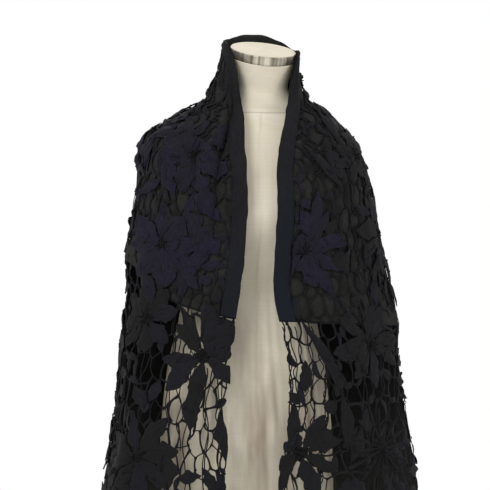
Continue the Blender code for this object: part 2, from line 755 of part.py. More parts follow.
def inner_points(cloth, outline, loops):
    """Points that carry a wall's curves, closer over the shoulders and closest at the neck."""
    points = []
    down, row = NECK_STEP, 0
    while down < cloth.fall:
        half = float(width_at(cloth, down)) / 2
        across = NECK_STEP if down < NECK_END else ACROSS_STEP
        shift = across / 2 * (row % 2)
        points += [(x + shift, down) for x in np.arange(-half, half, across)]
        if down < NECK_END:
            down += NECK_STEP
        else:
            down += DOWN_STEP if down < SHOULDERS_END else LOWER_DOWN_STEP
        row += 1
    points = np.array(points)
    points = points[enclosed(points, outline)]
    points = points[edge_distances(points, outline) > EDGE_CLEARANCE]
    for loop in loops:
        low, high = np.min(loop, axis=0) - EDGE_CLEARANCE, np.max(loop, axis=0) + EDGE_CLEARANCE
        near = ((points > low) & (points < high)).all(axis=1)
        close = np.zeros(len(points), bool)
        close[near] = enclosed(points[near], loop) | (edge_distances(points[near], loop) < EDGE_CLEARANCE)
        points = points[~close]
    return points


def cloth_wall(name, cloth, outline, layer, finish, collection, holes=(), under=(), narrow=False):
    """A closed wall on the draped surface, with its holes cut through.

    The corners of what it lies under are corners of the wall too. A narrow wall needs none inside it.
    """
    offset, thickness = layer
    flat, faces, edges = [], [], []
    for loop in [outline, *holes]:
        faces.append(list(range(len(flat), len(flat) + len(loop))))
        flat += one_way_round(loop)
    for loop in under:
        inside = [point for point in loop if edge_distances([point], outline)[0] > SAME_EDGE]
        start = len(flat)
        flat += inside
        edges += [(start + i, start + i + 1) for i in range(len(inside) - 1)]
    if not narrow:
        flat += [tuple(p) for p in inner_points(cloth, outline, [*holes, *under])]
    flat = [tuple(map(float, p)) for p in flat]
    points, _, triangles, _, _, origins = delaunay_2d_cdt(flat, edges, faces, 1, MERGE_DISTANCE)
    kept = [
        tuple(triangle)
        for triangle, origin in zip(triangles, origins)
        if 0 in origin and not any(face > 0 for face in origin)
    ]
    points = np.array([tuple(p) for p in points])
    used = sorted({corner for triangle in kept for corner in triangle})
    index = {corner: i for i, corner in enumerate(used)}
    faces = [tuple(index[corner] for corner in triangle) for triangle in kept]
    faces = outward_faces(points[used], faces)
    obj = add_mesh(name, laid(cloth, points[used], offset), faces, finish, collection)
    wall = obj.modifiers.new("Wall", "SOLIDIFY")
    wall.thickness = thickness
    wall.offset = 1.0
    obj.data.shade_smooth()
    return obj


def one_way_round(loop):
    x, y = np.array(loop).T
    return list(loop) if np.dot(x, np.roll(y, -1)) > np.dot(y, np.roll(x, -1)) else list(loop)[::-1]


def outward_faces(flat, faces):
    """Faces wound one way in the flat, so that all of them face out on the drape."""
    wound = []
    for a, b, c in faces:
        (ax, ay), (bx, by), (cx, cy) = flat[a], flat[b], flat[c]
        turns_left = (bx - ax) * (cy - ay) - (by - ay) * (cx - ax) > 0
        wound.append((a, b, c) if turns_left else (a, c, b))
    return wound


def make_shawl(collection):
    chiffon = material("Charcoal chiffon", (0.019, 0.019, 0.018), 0.85)
    band_cloth = material("Dark blue chiffon", (0.014, 0.017, 0.026), 0.75)
    lace = material("Blue-black lace", (0.010, 0.010, 0.018), 0.65)
    cloth = drape()

    lining = above(cloth, lined_outline(cloth, 0.0), LINING_BOTTOM)
    band = neckline(cloth, 0.0) + neckline(cloth, BAND_WIDTH)[::-1]
    for side, first, last in (("left", 0, SPLITS[0]), ("back", *SPLITS), ("right", SPLITS[1], 1)):
        band_part = part_between(cloth, band, first, last)
        lining_part = part_between(cloth, lining, first, last)
        under = [band_part]
        cloth_wall(f"lining_{side}", cloth, lining_part, LINING_LAYER, chiffon, collection, under=under)
        cloth_wall(f"band_{side}", cloth, band_part, BAND_LAYER, band_cloth, collection, narrow=True)

    outlines = {
        "lace_yoke": lined_outline(cloth, BAND_WIDTH + SEAM_GAP),
        "lace_end_left": end_outline(cloth, LEFT_LINING_EDGE),
        "lace_end_right": end_outline(cloth, RIGHT_LINING_EDGE),
    }
    for name, holes in lace_holes(cloth, outlines).items():
        cloth_wall(name, cloth, outlines[name], LACE_LAYER, lace, collection, holes)


def main():
    clear_scene()
    collection = bpy.data.collections.new("Lace shawl on a dress form")
    bpy.context.scene.collection.children.link(collection)
    steel = material("Brushed steel", (0.55, 0.55, 0.56), 0.3, metallic=1.0)
    linen = material("Natural linen", (0.694, 0.631, 0.503), 0.9)
    make_stand(steel, collection)
    make_torso(linen, collection)
    make_neck(steel, linen, collection)
    make_shawl(collection)


if __name__ == "__main__":
    main()
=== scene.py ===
# %% [markdown]
# # A lace shawl on a dress form
# The shawl is one long rectangle of dark lace. Chiffon lines its middle, a chiffon band binds its
# neck and front edges, and both ends hang as bare lace. It lies open on a limbless dress form.
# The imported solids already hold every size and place, so they are loaded first as a fixed frame,
# and each of them then gets a finer surface and its finish.

# %% Load the frame
import collections
import math

import bpy
import numpy as np
from mathutils import Euler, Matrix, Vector
from mathutils.geometry import delaunay_2d_cdt


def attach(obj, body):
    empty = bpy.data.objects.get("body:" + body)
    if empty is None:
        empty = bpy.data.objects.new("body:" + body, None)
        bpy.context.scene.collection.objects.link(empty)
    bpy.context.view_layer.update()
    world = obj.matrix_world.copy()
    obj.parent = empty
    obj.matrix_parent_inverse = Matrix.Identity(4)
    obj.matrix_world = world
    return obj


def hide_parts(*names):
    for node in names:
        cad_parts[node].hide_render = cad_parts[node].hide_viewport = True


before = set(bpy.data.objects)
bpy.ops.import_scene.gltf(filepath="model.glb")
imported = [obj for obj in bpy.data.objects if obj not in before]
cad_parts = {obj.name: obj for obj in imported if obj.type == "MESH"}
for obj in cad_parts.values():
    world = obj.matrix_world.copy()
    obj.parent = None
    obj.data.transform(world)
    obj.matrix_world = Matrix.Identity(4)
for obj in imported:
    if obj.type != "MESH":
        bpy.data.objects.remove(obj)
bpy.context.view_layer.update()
MM = 0.001
print("solids:", sorted(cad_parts))

# %% [markdown]
# ## Camera
# The photograph looks level at the form from a little to its left, from a few metres away. A long
# lens keeps the sides of the cloth nearly parallel. The camera is made first, because every later
# choice is judged through it.

# %% Camera
VIEW_TARGET = Vector((-0.023, 0.0, 1.15))
VIEW_DISTANCE = 2.8
VIEW_TURN = math.radians(10)
VIEW_WIDTH = 0.857

camera = bpy.data.objects.new("camera", bpy.data.cameras.new("camera"))
bpy.context.scene.collection.objects.link(camera)
bpy.context.scene.camera = camera
camera.location = VIEW_TARGET + VIEW_DISTANCE * Vector((-math.sin(VIEW_TURN), -math.cos(VIEW_TURN), 0))
camera.rotation_euler = (VIEW_TARGET - camera.location).to_track_quat("-Z", "Y").to_euler()
camera.data.angle = 2 * math.atan(VIEW_WIDTH / 2 / VIEW_DISTANCE)
print("camera at", tuple(round(value, 3) for value in camera.location))

# %% [markdown]
# ## Floor and light
# A studio product shot has a white sweep behind the object and large, soft lamps. Here the world
# is white, a pale disc stands for the floor, and three big area lamps shape the folds. Dark cloth
# needs strong light, and without a broad lamp at the side its folds would merge into one black.

# %% Floor, world and lamps
FLOOR_RADIUS = 3.0
WORLD_LIGHT = 0.66
LAMPS = {
    "left_front_lamp": ((-1.7, -2.2, 2.7), 1.4, 50.0),
    "right_front_lamp": ((2.3, -1.6, 2.2), 1.2, 20.0),
    "top_back_lamp": ((0.4, 1.8, 2.9), 1.4, 24.0),
}


def linear(code):
    """A hex colour in sRGB as linear light: each channel c becomes ((c + 0.055) / 1.055) ** 2.4."""
    channels = np.array([int(code[i : i + 2], 16) for i in (1, 3, 5)]) / 255
    light = np.where(channels > 0.04045, ((channels + 0.055) / 1.055) ** 2.4, channels / 12.92)
    return (*light.tolist(), 1.0)


def new_material(name):
    """A material with its Principled shader and its output, both empty-handed."""
    made = bpy.data.materials.new(name)
    made.use_nodes = True
    return made, made.node_tree.nodes["Principled BSDF"]


def add(owner, kind, inputs=None, **settings):
    """Adds a node with its settings, and fills its inputs with numbers or with links from sockets."""
    node = owner.node_tree.nodes.new(kind)
    for name, value in settings.items():
        setattr(node, name, value)
    for name, value in (inputs or {}).items():
        if isinstance(value, bpy.types.NodeSocket):
            owner.node_tree.links.new(value, node.inputs[name])
        else:
            node.inputs[name].default_value = value
    return node


def join(owner, socket, target):
    owner.node_tree.links.new(socket, target)


world = bpy.data.worlds.new("white studio")
world.use_nodes = True
bpy.context.scene.world = world
backdrop = world.node_tree.nodes["Background"]
backdrop.inputs["Color"].default_value = linear("#FFFFFF")
seen = add(world, "ShaderNodeLightPath").outputs["Is Camera Ray"]
strength = add(world, "ShaderNodeMix", {"Factor": seen, "A": WORLD_LIGHT, "B": 1.0}, data_type="FLOAT")
join(world, strength.outputs["Result"], backdrop.inputs["Strength"])

for name, (place, size, power) in LAMPS.items():
    lamp = bpy.data.objects.new(name, bpy.data.lights.new(name, "AREA"))
    lamp.data.shape = "DISK"
    lamp.data.size = size
    lamp.data.energy = power
    lamp.location = place
    lamp.rotation_euler = (VIEW_TARGET - lamp.location).to_track_quat("-Z", "Y").to_euler()
    bpy.context.scene.collection.objects.link(lamp)

bpy.ops.mesh.primitive_circle_add(vertices=96, radius=FLOOR_RADIUS, fill_type="NGON")
floor = bpy.context.object
floor.name = "floor"
pale, pale_shader = new_material("white paper sweep")
pale_shader.inputs["Base Color"].default_value = linear("#F7F7F5")
pale_shader.inputs["Roughness"].default_value = 0.9
floor.data.materials.append(pale)
bpy.context.scene.view_settings.view_transform = "Standard"
print("lamps:", list(LAMPS))

# %% [markdown]
# ## The draped surface
# Cloth on a body is one surface that falls from the neck over the shoulders to the hem. It is a
# stack of rings, each a rounded oval that is open at the front. A table gives each ring's size
# and height in millimetres, and a smooth curve joins the rows. Long soft folds grow towards the
# hem, as they do in hanging cloth. The solids come from the same table, so the fine cloth lies
# just where they do.

# %% Rings of the drape
RING_COLUMNS = (
    "back_z", "left_z", "right_z", "front_z", "left", "right",
    "back_y", "front_y", "mid_y", "left_edge", "right_edge",
)
RINGS_MM = (
    (1522, 1503, 1487, 1470, 62, 59, 31, -112, -42, -60, 50),
    (1470, 1458, 1452, 1425, 71, 61, 38, -100, -36, -51, 41),
    (1418, 1405, 1403, 1386, 88, 77, 53, -94, -26, -44, 34),
    (1392, 1386, 1383, 1350, 115, 110, 78, -106, -12, -42, 25),
    (1358, 1363, 1355, 1310, 156, 145, 96, -120, -5, -44, 14),
    (1320, 1334, 1330, 1272, 197, 168, 108, -134, 0, -45, 7),
    (1272, 1296, 1297, 1235, 206, 181, 116, -146, 0, -45, 6),
    (1215, 1240, 1240, 1185, 210, 198, 122, -150, 0, -46, 5),
    (1140, 1160, 1160, 1125, 219, 211, 126, -148, 0, -50, 0.5),
    (1060, 1075, 1075, 1060, 225, 229, 130, -146, 0, -59, 1),
    (960, 965, 965, 960, 235, 242, 140, -150, 0, -74, 22),
    (860, 862, 862, 860, 243, 253, 150, -156, 0, -82, 22),
    (760, 760, 760, 760, 258, 271, 162, -164, 0, -81, 8),
    (640, 640, 640, 640, 280, 288, 175, -172, 0, -92, 11),
)
RING_ROUNDNESS = 0.88
FOLD_COLUMNS = ("turn", "half_width", "height", "starts", "full", "fades", "lean")
FOLDS = (
    (-167, 8, 4, 8, 12, 99, 2),
    (-154, 8, 6, 3, 5, 99, 0),
    (-138, 10, -4, 5, 10, 99, 3),
    (-128, 12, 5, 1, 3, 6, -6),
    (-114, 10, 7, 8, 12, 99, 2),
    (-96, 10, -3, 7, 12, 99, 0),
    (-74, 12, 8, 7, 13, 99, 2),
    (-51, 11, -7, 6, 12, 99, 1),
    (-27, 12, 10, 6, 13, 99, -2),
    (-3, 11, -7, 7, 12, 99, 2),
    (21, 12, 10, 6, 13, 99, 3),
    (45, 11, -7, 6, 12, 99, -2),
    (69, 12, 7, 7, 13, 99, 2),
    (90, 10, -3, 8, 13, 99, 1),
    (108, 10, 5, 8, 12, 99, -2),
    (124, 12, 4, 2, 4, 7, 5),
    (133, 10, -4, 8, 12, 99, -2),
    (152, 9, 4, 5, 9, 99, -3),
)
FLARE_HEIGHT = 0.008
FLARE_HALF_WIDTH = 0.045
FLARE_RISE = 0.140
FLARE_DROP = 0.050
LEFT_LINING_EDGE = (
    (0.0, 1.028), (0.075, 1.046), (0.135, 1.075),
    (0.205, 1.129), (0.228, 0.900), (0.240, 0.640),
)
RIGHT_LINING_EDGE = (
    (1.0, 1.024), (0.930, 1.019), (0.860, 1.015),
    (0.800, 1.010), (0.776, 0.860), (0.762, 0.640),
)
OUTER_CORNER = 3

# %% Read a table smoothly


def columns_of(names, rows, scale=1.0):
    return {name: np.array(values, float) * scale for name, values in zip(names, zip(*rows))}


def smooth(values, at):
    """Between two rows a cubic that keeps each row's slope, so a row leaves no kink."""
    first = np.clip(np.floor(at).astype(int), 0, len(values) - 2)
    part = at - first
    slope = np.gradient(values)
    start = (1 + 2 * part) * (1 - part) ** 2 * values[first] + part * (1 - part) ** 2 * slope[first]
    end = part**2 * (3 - 2 * part) * values[first + 1] + part**2 * (part - 1) * slope[first + 1]
    return start + end


def eased(values):
    """3 t t - 2 t t t, with t held between 0 and 1."""
    share = np.clip(values, 0, 1)
    return share * share * (3 - 2 * share)


def oval(turn, half_width, front, back, roundness):
    """x = half width * sin ** roundness, y = depth * cos ** roundness, turn 0 at the centre back."""
    sine, cosine = np.sin(turn), np.cos(turn)
    depth = np.where(cosine > 0, back, front)
    across = half_width * np.sign(sine) * np.abs(sine) ** roundness
    return across, depth * np.sign(cosine) * np.abs(cosine) ** roundness


# %% Drape
DENSE_RINGS = 420
DENSE_COLUMNS = 1500
SURFACE_ROWS = 265
SURFACE_COLUMNS = 721
Cloth = collections.namedtuple("Cloth", "points normals width fall")


def fold_heights(turn, level):
    """Each fold is a bell curve round its turn, which grows from its first ring to its full one."""
    folds = columns_of(FOLD_COLUMNS, FOLDS)
    height = np.zeros(np.broadcast(turn, level).shape)
    for i in range(len(FOLDS)):
        grown = eased((level - folds["starts"][i]) / (folds["full"][i] - folds["starts"][i]))
        left = 1 - eased((level - folds["fades"][i] + 2) / 2)
        middle = folds["turn"][i] + folds["lean"][i] * grown
        away = (np.degrees(turn) - middle) / folds["half_width"][i]
        height += folds["height"][i] * MM * grown * left * np.exp(-(away**2))
    return height


def edge_turn(share):
    return math.pi - np.sign(share) * np.arcsin(np.abs(share) ** (1 / RING_ROUNDNESS))


def even_columns(points):
    """Each ring's points spaced evenly along it, and the rings' lengths."""
    steps = np.linalg.norm(np.diff(points, axis=1), axis=2)
    along = np.concatenate([np.zeros((len(points), 1)), np.cumsum(steps, axis=1)], axis=1)
    share = np.linspace(0, 1, SURFACE_COLUMNS)
    rings = [
        np.stack([np.interp(share * ring[-1], ring, axis) for axis in ring_points.T], axis=1)
        for ring, ring_points in zip(along, points)
    ]
    return np.array(rings), along[:, -1]


def normals_of(points):
    """The cross product of the way round and the way down, which points out of the cloth."""
    normals = np.cross(np.gradient(points, axis=1), np.gradient(points, axis=0))
    return normals / np.linalg.norm(normals, axis=2, keepdims=True)


def drape():
    """The surface under the cloth, from the left front edge round the back to the right front edge."""
    level = np.linspace(0, len(RINGS_MM) - 1, DENSE_RINGS)
    table = columns_of(RING_COLUMNS, RINGS_MM, MM)
    ring = {name: smooth(values, level)[:, None] for name, values in table.items()}
    left_end = edge_turn(-ring["left_edge"] / ring["left"])
    right_end = edge_turn(ring["right_edge"] / ring["right"])
    turn = -left_end + (left_end + right_end) * np.linspace(0, 1, DENSE_COLUMNS)
    reach = np.where(turn < 0, ring["left"], ring["right"])
    front, back = ring["mid_y"] - ring["front_y"], ring["back_y"] - ring["mid_y"]
    x, depth = oval(turn, reach, front, back, RING_ROUNDNESS)
    end_z = np.where(np.cos(turn) > 0, ring["back_z"], ring["front_z"])
    side_z = np.where(turn < 0, ring["left_z"], ring["right_z"])
    z = side_z + (end_z - side_z) * np.cos(turn) ** 2
    out = 1 + fold_heights(turn, level[:, None]) / np.hypot(x, depth)
    rings, width = even_columns(np.stack([x * out, ring["mid_y"] + depth * out, z], axis=2))

    steps = np.linalg.norm(np.diff(rings, axis=0), axis=2).mean(axis=1)
    down = np.concatenate([[0], np.cumsum(steps)])
    even = np.linspace(0, down[-1], SURFACE_ROWS)
    row = np.interp(even, down, np.arange(DENSE_RINGS))
    low = np.minimum(row.astype(int), DENSE_RINGS - 2)
    part = (row - low)[:, None, None]
    points = rings[low] * (1 - part) + rings[low + 1] * part
    return Cloth(points, normals_of(points), np.interp(even, down, width), down[-1])


def down_at(cloth, round_share, z):
    """How far down the cloth its surface reaches a height, on the column at a share of the way round."""
    column = int(round(round_share * (SURFACE_COLUMNS - 1)))
    return float(np.interp(-z, -cloth.points[:, column, 2], np.linspace(0, cloth.fall, SURFACE_ROWS)))


def flared(cloth):
    """The lining's outer corners hold the cloth out at the sides, and the lace below steps back in."""
    height = np.zeros(cloth.points.shape[:2])
    share = np.linspace(0, 1, SURFACE_COLUMNS)
    for corner in (LEFT_LINING_EDGE[OUTER_CORNER], RIGHT_LINING_EDGE[OUTER_CORNER]):
        down = np.linspace(0, cloth.fall, SURFACE_ROWS) - down_at(cloth, *corner)
        rise = eased(1 + down / FLARE_RISE) * eased((FLARE_DROP - down) / FLARE_DROP)
        spread = np.exp(-(((share - corner[0]) / FLARE_HALF_WIDTH) ** 2))
        height += FLARE_HEIGHT * rise[:, None] * spread
    points = cloth.points + height[:, :, None] * cloth.normals
    return cloth._replace(points=points, normals=normals_of(points))


smooth_cloth = flared(drape())
print("cloth falls", round(smooth_cloth.fall, 3), "m, hem round", round(float(smooth_cloth.width[-1]), 3), "m")

# %% [markdown]
# ## Creases
# Real chiffon is never smooth. Creases fan from the collar over each shoulder, a deep fold runs
# beside the left band, and the heavy lace pulls fine upright pleats into the fronts. Each crease
# is a soft ridge or trough, listed one by one: a row of the table gives its middle, its lean, its
# length and width, and its height. Finer puckers are waves of two sizes added everywhere.

# %% Creases listed one by one
CREASE_COLUMNS = ("round", "down", "lean", "length", "width", "height")
CREASES = (
    (0.047, 0.200, 3, 230, 7, -15.0),
    (0.029, 0.220, 2, 210, 6, 4.0),
    (0.068, 0.215, 3, 190, 10, 10.0),
    (0.088, 0.240, -6, 80, 8, -3.0),
    (0.105, 0.160, -38, 70, 6, 2.6),
    (0.125, 0.175, -46, 64, 6, -2.4),
    (0.150, 0.190, -52, 76, 6, 2.6),
    (0.175, 0.170, -60, 60, 5, -2.0),
    (0.205, 0.200, -64, 84, 6, 2.4),
    (0.180, 0.240, -70, 50, 5, -2.2),
    (0.210, 0.265, -76, 56, 5, 2.2),
    (0.235, 0.235, -80, 60, 6, -1.8),
    (0.120, 0.330, -24, 90, 9, 2.6),
    (0.165, 0.350, 16, 110, 9, -2.4),
    (0.080, 0.340, 12, 120, 8, 2.4),
    (0.060, 0.410, 24, 84, 8, -2.6),
    (0.030, 0.360, 0, 150, 7, 2.0),
    (0.200, 0.400, 6, 150, 9, 3.0),
    (0.940, 0.130, 32, 60, 7, -4.0),
    (0.915, 0.150, 40, 84, 6, 3.0),
    (0.895, 0.165, 48, 70, 6, -2.6),
    (0.870, 0.180, 55, 90, 6, 2.6),
    (0.840, 0.190, 62, 74, 6, -2.2),
    (0.815, 0.225, 68, 90, 6, 2.2),
    (0.955, 0.250, -4, 130, 8, 2.8),
    (0.925, 0.290, -12, 120, 8, -2.6),
    (0.895, 0.320, -8, 130, 8, 2.6),
    (0.865, 0.370, 4, 140, 9, -2.6),
    (0.835, 0.380, 0, 150, 9, 2.6),
    (0.880, 0.480, 8, 110, 9, -2.4),
    (0.960, 0.430, 4, 110, 8, 2.0),
    (0.350, 0.130, -40, 80, 8, 2.6),
    (0.400, 0.160, -18, 110, 9, -2.2),
    (0.450, 0.200, -8, 130, 10, 2.4),
    (0.510, 0.150, 4, 110, 9, -2.2),
    (0.560, 0.210, 10, 130, 10, 2.4),
    (0.610, 0.170, 22, 110, 9, -2.2),
    (0.650, 0.140, 42, 80, 8, 2.6),
    (0.320, 0.330, -10, 150, 10, -2.6),
    (0.380, 0.360, 8, 140, 10, 2.4),
    (0.470, 0.390, -6, 160, 11, -2.4),
    (0.530, 0.350, 6, 150, 10, 2.4),
    (0.620, 0.380, -8, 150, 10, -2.4),
    (0.690, 0.340, 10, 140, 10, 2.6),
    (0.300, 0.560, 4, 170, 10, 2.6),
    (0.420, 0.600, -5, 180, 11, -2.4),
    (0.500, 0.640, 3, 180, 11, 2.4),
    (0.580, 0.590, 6, 180, 11, -2.4),
    (0.700, 0.570, -4, 170, 10, 2.6),
)
PUCKERS = ((0.034, 0.011, 1.2), (0.021, 0.009, 0.75), (0.060, 0.026, 1.2))


def width_at(cloth, down):
    return np.interp(down, np.linspace(0, cloth.fall, SURFACE_ROWS), cloth.width)


def crease_heights(cloth, share, down):
    """Each crease is one bell curve along its length times another across its width."""
    creases = columns_of(CREASE_COLUMNS, CREASES)
    height = np.zeros(np.broadcast(share, down).shape)
    for i in range(len(CREASES)):
        lean = math.radians(creases["lean"][i])
        x = (share - creases["round"][i]) * width_at(cloth, down)
        y = down - creases["down"][i]
        along = x * math.sin(lean) + y * math.cos(lean)
        beside = x * math.cos(lean) - y * math.sin(lean)
        bell = (along / (creases["length"][i] * MM / 2)) ** 2 + (beside / (creases["width"][i] * MM)) ** 2
        height += creases["height"][i] * MM * np.exp(-bell)
    return height


def pucker_heights(x, down):
    """Crossed sine waves, longer down the cloth than across it, each bent by a slower wave."""
    height = np.zeros(np.broadcast(x, down).shape)
    for i, (tall, wide, high) in enumerate(PUCKERS):
        bend = 0.8 * np.sin(down / (2.3 * tall) + 1.7 * i) + 0.6 * np.sin(x / (3.1 * wide) + i)
        height += high * MM * np.sin(x / wide + bend) * np.sin(down / tall + 1.3 * np.sin(x / (2 * wide)) + i)
    return height


def creased(cloth):
    share = np.linspace(0, 1, SURFACE_COLUMNS)[None, :]
    down = np.linspace(0, cloth.fall, SURFACE_ROWS)[:, None]
    x = (share - 0.5) * cloth.width[:, None]
    calm = eased((down - 0.02) / 0.06)
    height = crease_heights(cloth, share, down) * calm + pucker_heights(x, down) * (0.35 + 0.65 * calm)
    points = cloth.points + height[:, :, None] * cloth.normals
    return cloth._replace(points=points, normals=normals_of(points))


shawl_cloth = creased(smooth_cloth)
moved = np.linalg.norm(shawl_cloth.points - smooth_cloth.points, axis=2)
print("creases move the cloth by up to", round(float(moved.max()) / MM, 1), "mm")

# %% [markdown]
# ## Laying things on the cloth
# Every piece of the shawl is drawn flat, in metres from the centre back and down from the neck
# edge, and then laid on the draped surface. A point's place comes from the four grid points round
# it, and its height is measured along the surface's normal, so layers keep their order.

# %% Lay flat points on the drape


def laid(cloth, flat, offset):
    """Blends the four grid points round each flat point, and adds offset times the blended normal."""
    flat = np.asarray(flat, float)
    down = np.clip(flat[..., 1], 0, cloth.fall)
    below_hem = (flat[..., 1] - down)[..., None]
    share = 0.5 + flat[..., 0] / width_at(cloth, down)
    row, column = down / cloth.fall * (SURFACE_ROWS - 1), share * (SURFACE_COLUMNS - 1)
    i = np.clip(row.astype(int), 0, SURFACE_ROWS - 2)
    j = np.clip(np.floor(column).astype(int), 0, SURFACE_COLUMNS - 2)
    below, after = (row - i)[..., None], (column - j)[..., None]

    def blended(grid, after):
        upper = grid[i, j] * (1 - after) + grid[i, j + 1] * after
        lower = grid[i + 1, j] * (1 - after) + grid[i + 1, j + 1] * after
        return upper * (1 - below) + lower * below

    normal = blended(cloth.normals, np.clip(after, 0, 1))
    normal /= np.linalg.norm(normal, axis=-1, keepdims=True)
    place = blended(cloth.points, after) + np.asarray(offset)[..., None] * normal
    return place - below_hem * np.array([0.0, 0.0, 1.0])


def flat_point(cloth, share, down):
    return ((share - 0.5) * float(width_at(cloth, down)), down)


def around(cloth, share, down, across, drop):
    """Flat points at distances across and below a place that is given as a share of the way round."""
    lower = down + drop
    return np.stack([(share - 0.5) * width_at(cloth, lower) + across, lower], axis=-1)


# %% Make a mesh from whole arrays


def make_mesh(name, points, faces, finishes, uv=None, slots=None, tone=None):
    """One object at the origin from point and face arrays, with a UV pair and a tone for each point."""
    mesh = bpy.data.meshes.new(name)
    mesh.from_pydata(np.asarray(points, float).reshape(-1, 3).tolist(), [], faces)
    for finish in finishes:
        mesh.materials.append(finish)
    if slots is not None:
        mesh.polygons.foreach_set("material_index", np.asarray(slots, np.int32))
    corner = np.empty(len(mesh.loops), np.int32)
    mesh.loops.foreach_get("vertex_index", corner)
    if uv is not None:
        layer = mesh.uv_layers.new(name="cloth")
        layer.data.foreach_set("uv", np.asarray(uv, np.float32).reshape(-1, 2)[corner].ravel())
    if tone is not None:
        layer = mesh.attributes.new("tone", "FLOAT", "POINT")
        layer.data.foreach_set("value", np.asarray(tone, np.float32).ravel())
    mesh.polygons.foreach_set("use_smooth", np.ones(len(mesh.polygons), bool))
    mesh.update()
    made = bpy.data.objects.new(name, mesh)
    bpy.context.scene.collection.objects.link(made)
    return made


def grid_faces(rows, columns, start=0, around_it=False):
    """Four-sided faces between neighbouring points of a grid, wound so that they face out."""
    index = start + np.arange(rows * columns).reshape(rows, columns)
    if around_it:
        index = np.concatenate([index, index[:, :1]], axis=1)
    corners = [index[:-1, :-1], index[1:, :-1], index[1:, 1:], index[:-1, 1:]]
    return np.stack(corners, axis=-1).reshape(-1, 4).tolist()


# %% [markdown]
# ## Dress form
# The form is a padded shell under tight natural linen, with seams at the neck and down the middle.
# A loft suits it: the same table of sections as the solid's, read at many more heights, gives a
# smooth body. The seams are shallow grooves, and the few drag lines in the linen are soft waves.

# %% Linen
TORSO_COLUMNS = ("z", "centre_x", "centre_y", "half_width", "front", "back", "tilt", "roll")
TORSO_MM = (
    (680, -16, 0, 148, 112, 116, 0, 0),
    (760, -20, 0, 151, 116, 124, 0, 0),
    (840, -21, 0, 148, 110, 123, 0, 0),
    (940, -21, 0, 137, 98, 103, 0, 0),
    (1040, -17, 0, 119, 84, 86, 0, 0),
    (1120, -14, 0, 126, 97, 91, 0, 0),
    (1200, -12, 0, 147, 124, 98, 0, 0),
    (1270, -8, 0, 158, 106, 99, 0, 0),
    (1318, -4, 0, 162, 88, 96, 0, 0),
    (1347.6, 0, -2, 151.5, 75, 87, 0, 0),
    (1365.6, 0, -5, 130.5, 67, 77, 0, 0),
    (1384, 0, -10, 99, 60, 68, 2, 0),
    (1403, 0, -18, 65, 54, 58, 6, 0),
    (1424, 0, -27, 48, 49, 52, 10, 1),
    (1448, 0, -34, 50, 51, 52, 15, 2),
    (1472, 0, -41, 55.5, 55.5, 55.5, 20, 3),
)
TORSO_ROUNDNESS = 0.92
TORSO_ROWS, TORSO_SIDES = 260, 240
NECK_SEAM_ROW = 10.62
SEAM_HALF_WIDTH = 2.0 * MM
SEAM_ASIDE = -9.0 * MM
SEAM_DEPTH = 0.7 * MM
SHOULDER_ROWS = (8.0, 11.5)
SHOULDER_EASE = 1.0 * MM


# Painted light on the linen by height: the chest is painted brighter and the neck a little darker.
LINEN_PAINTED_LIGHT = ((0.36, 1.0), (0.45, 1.13), (0.86, 1.13), (0.93, 0.97))


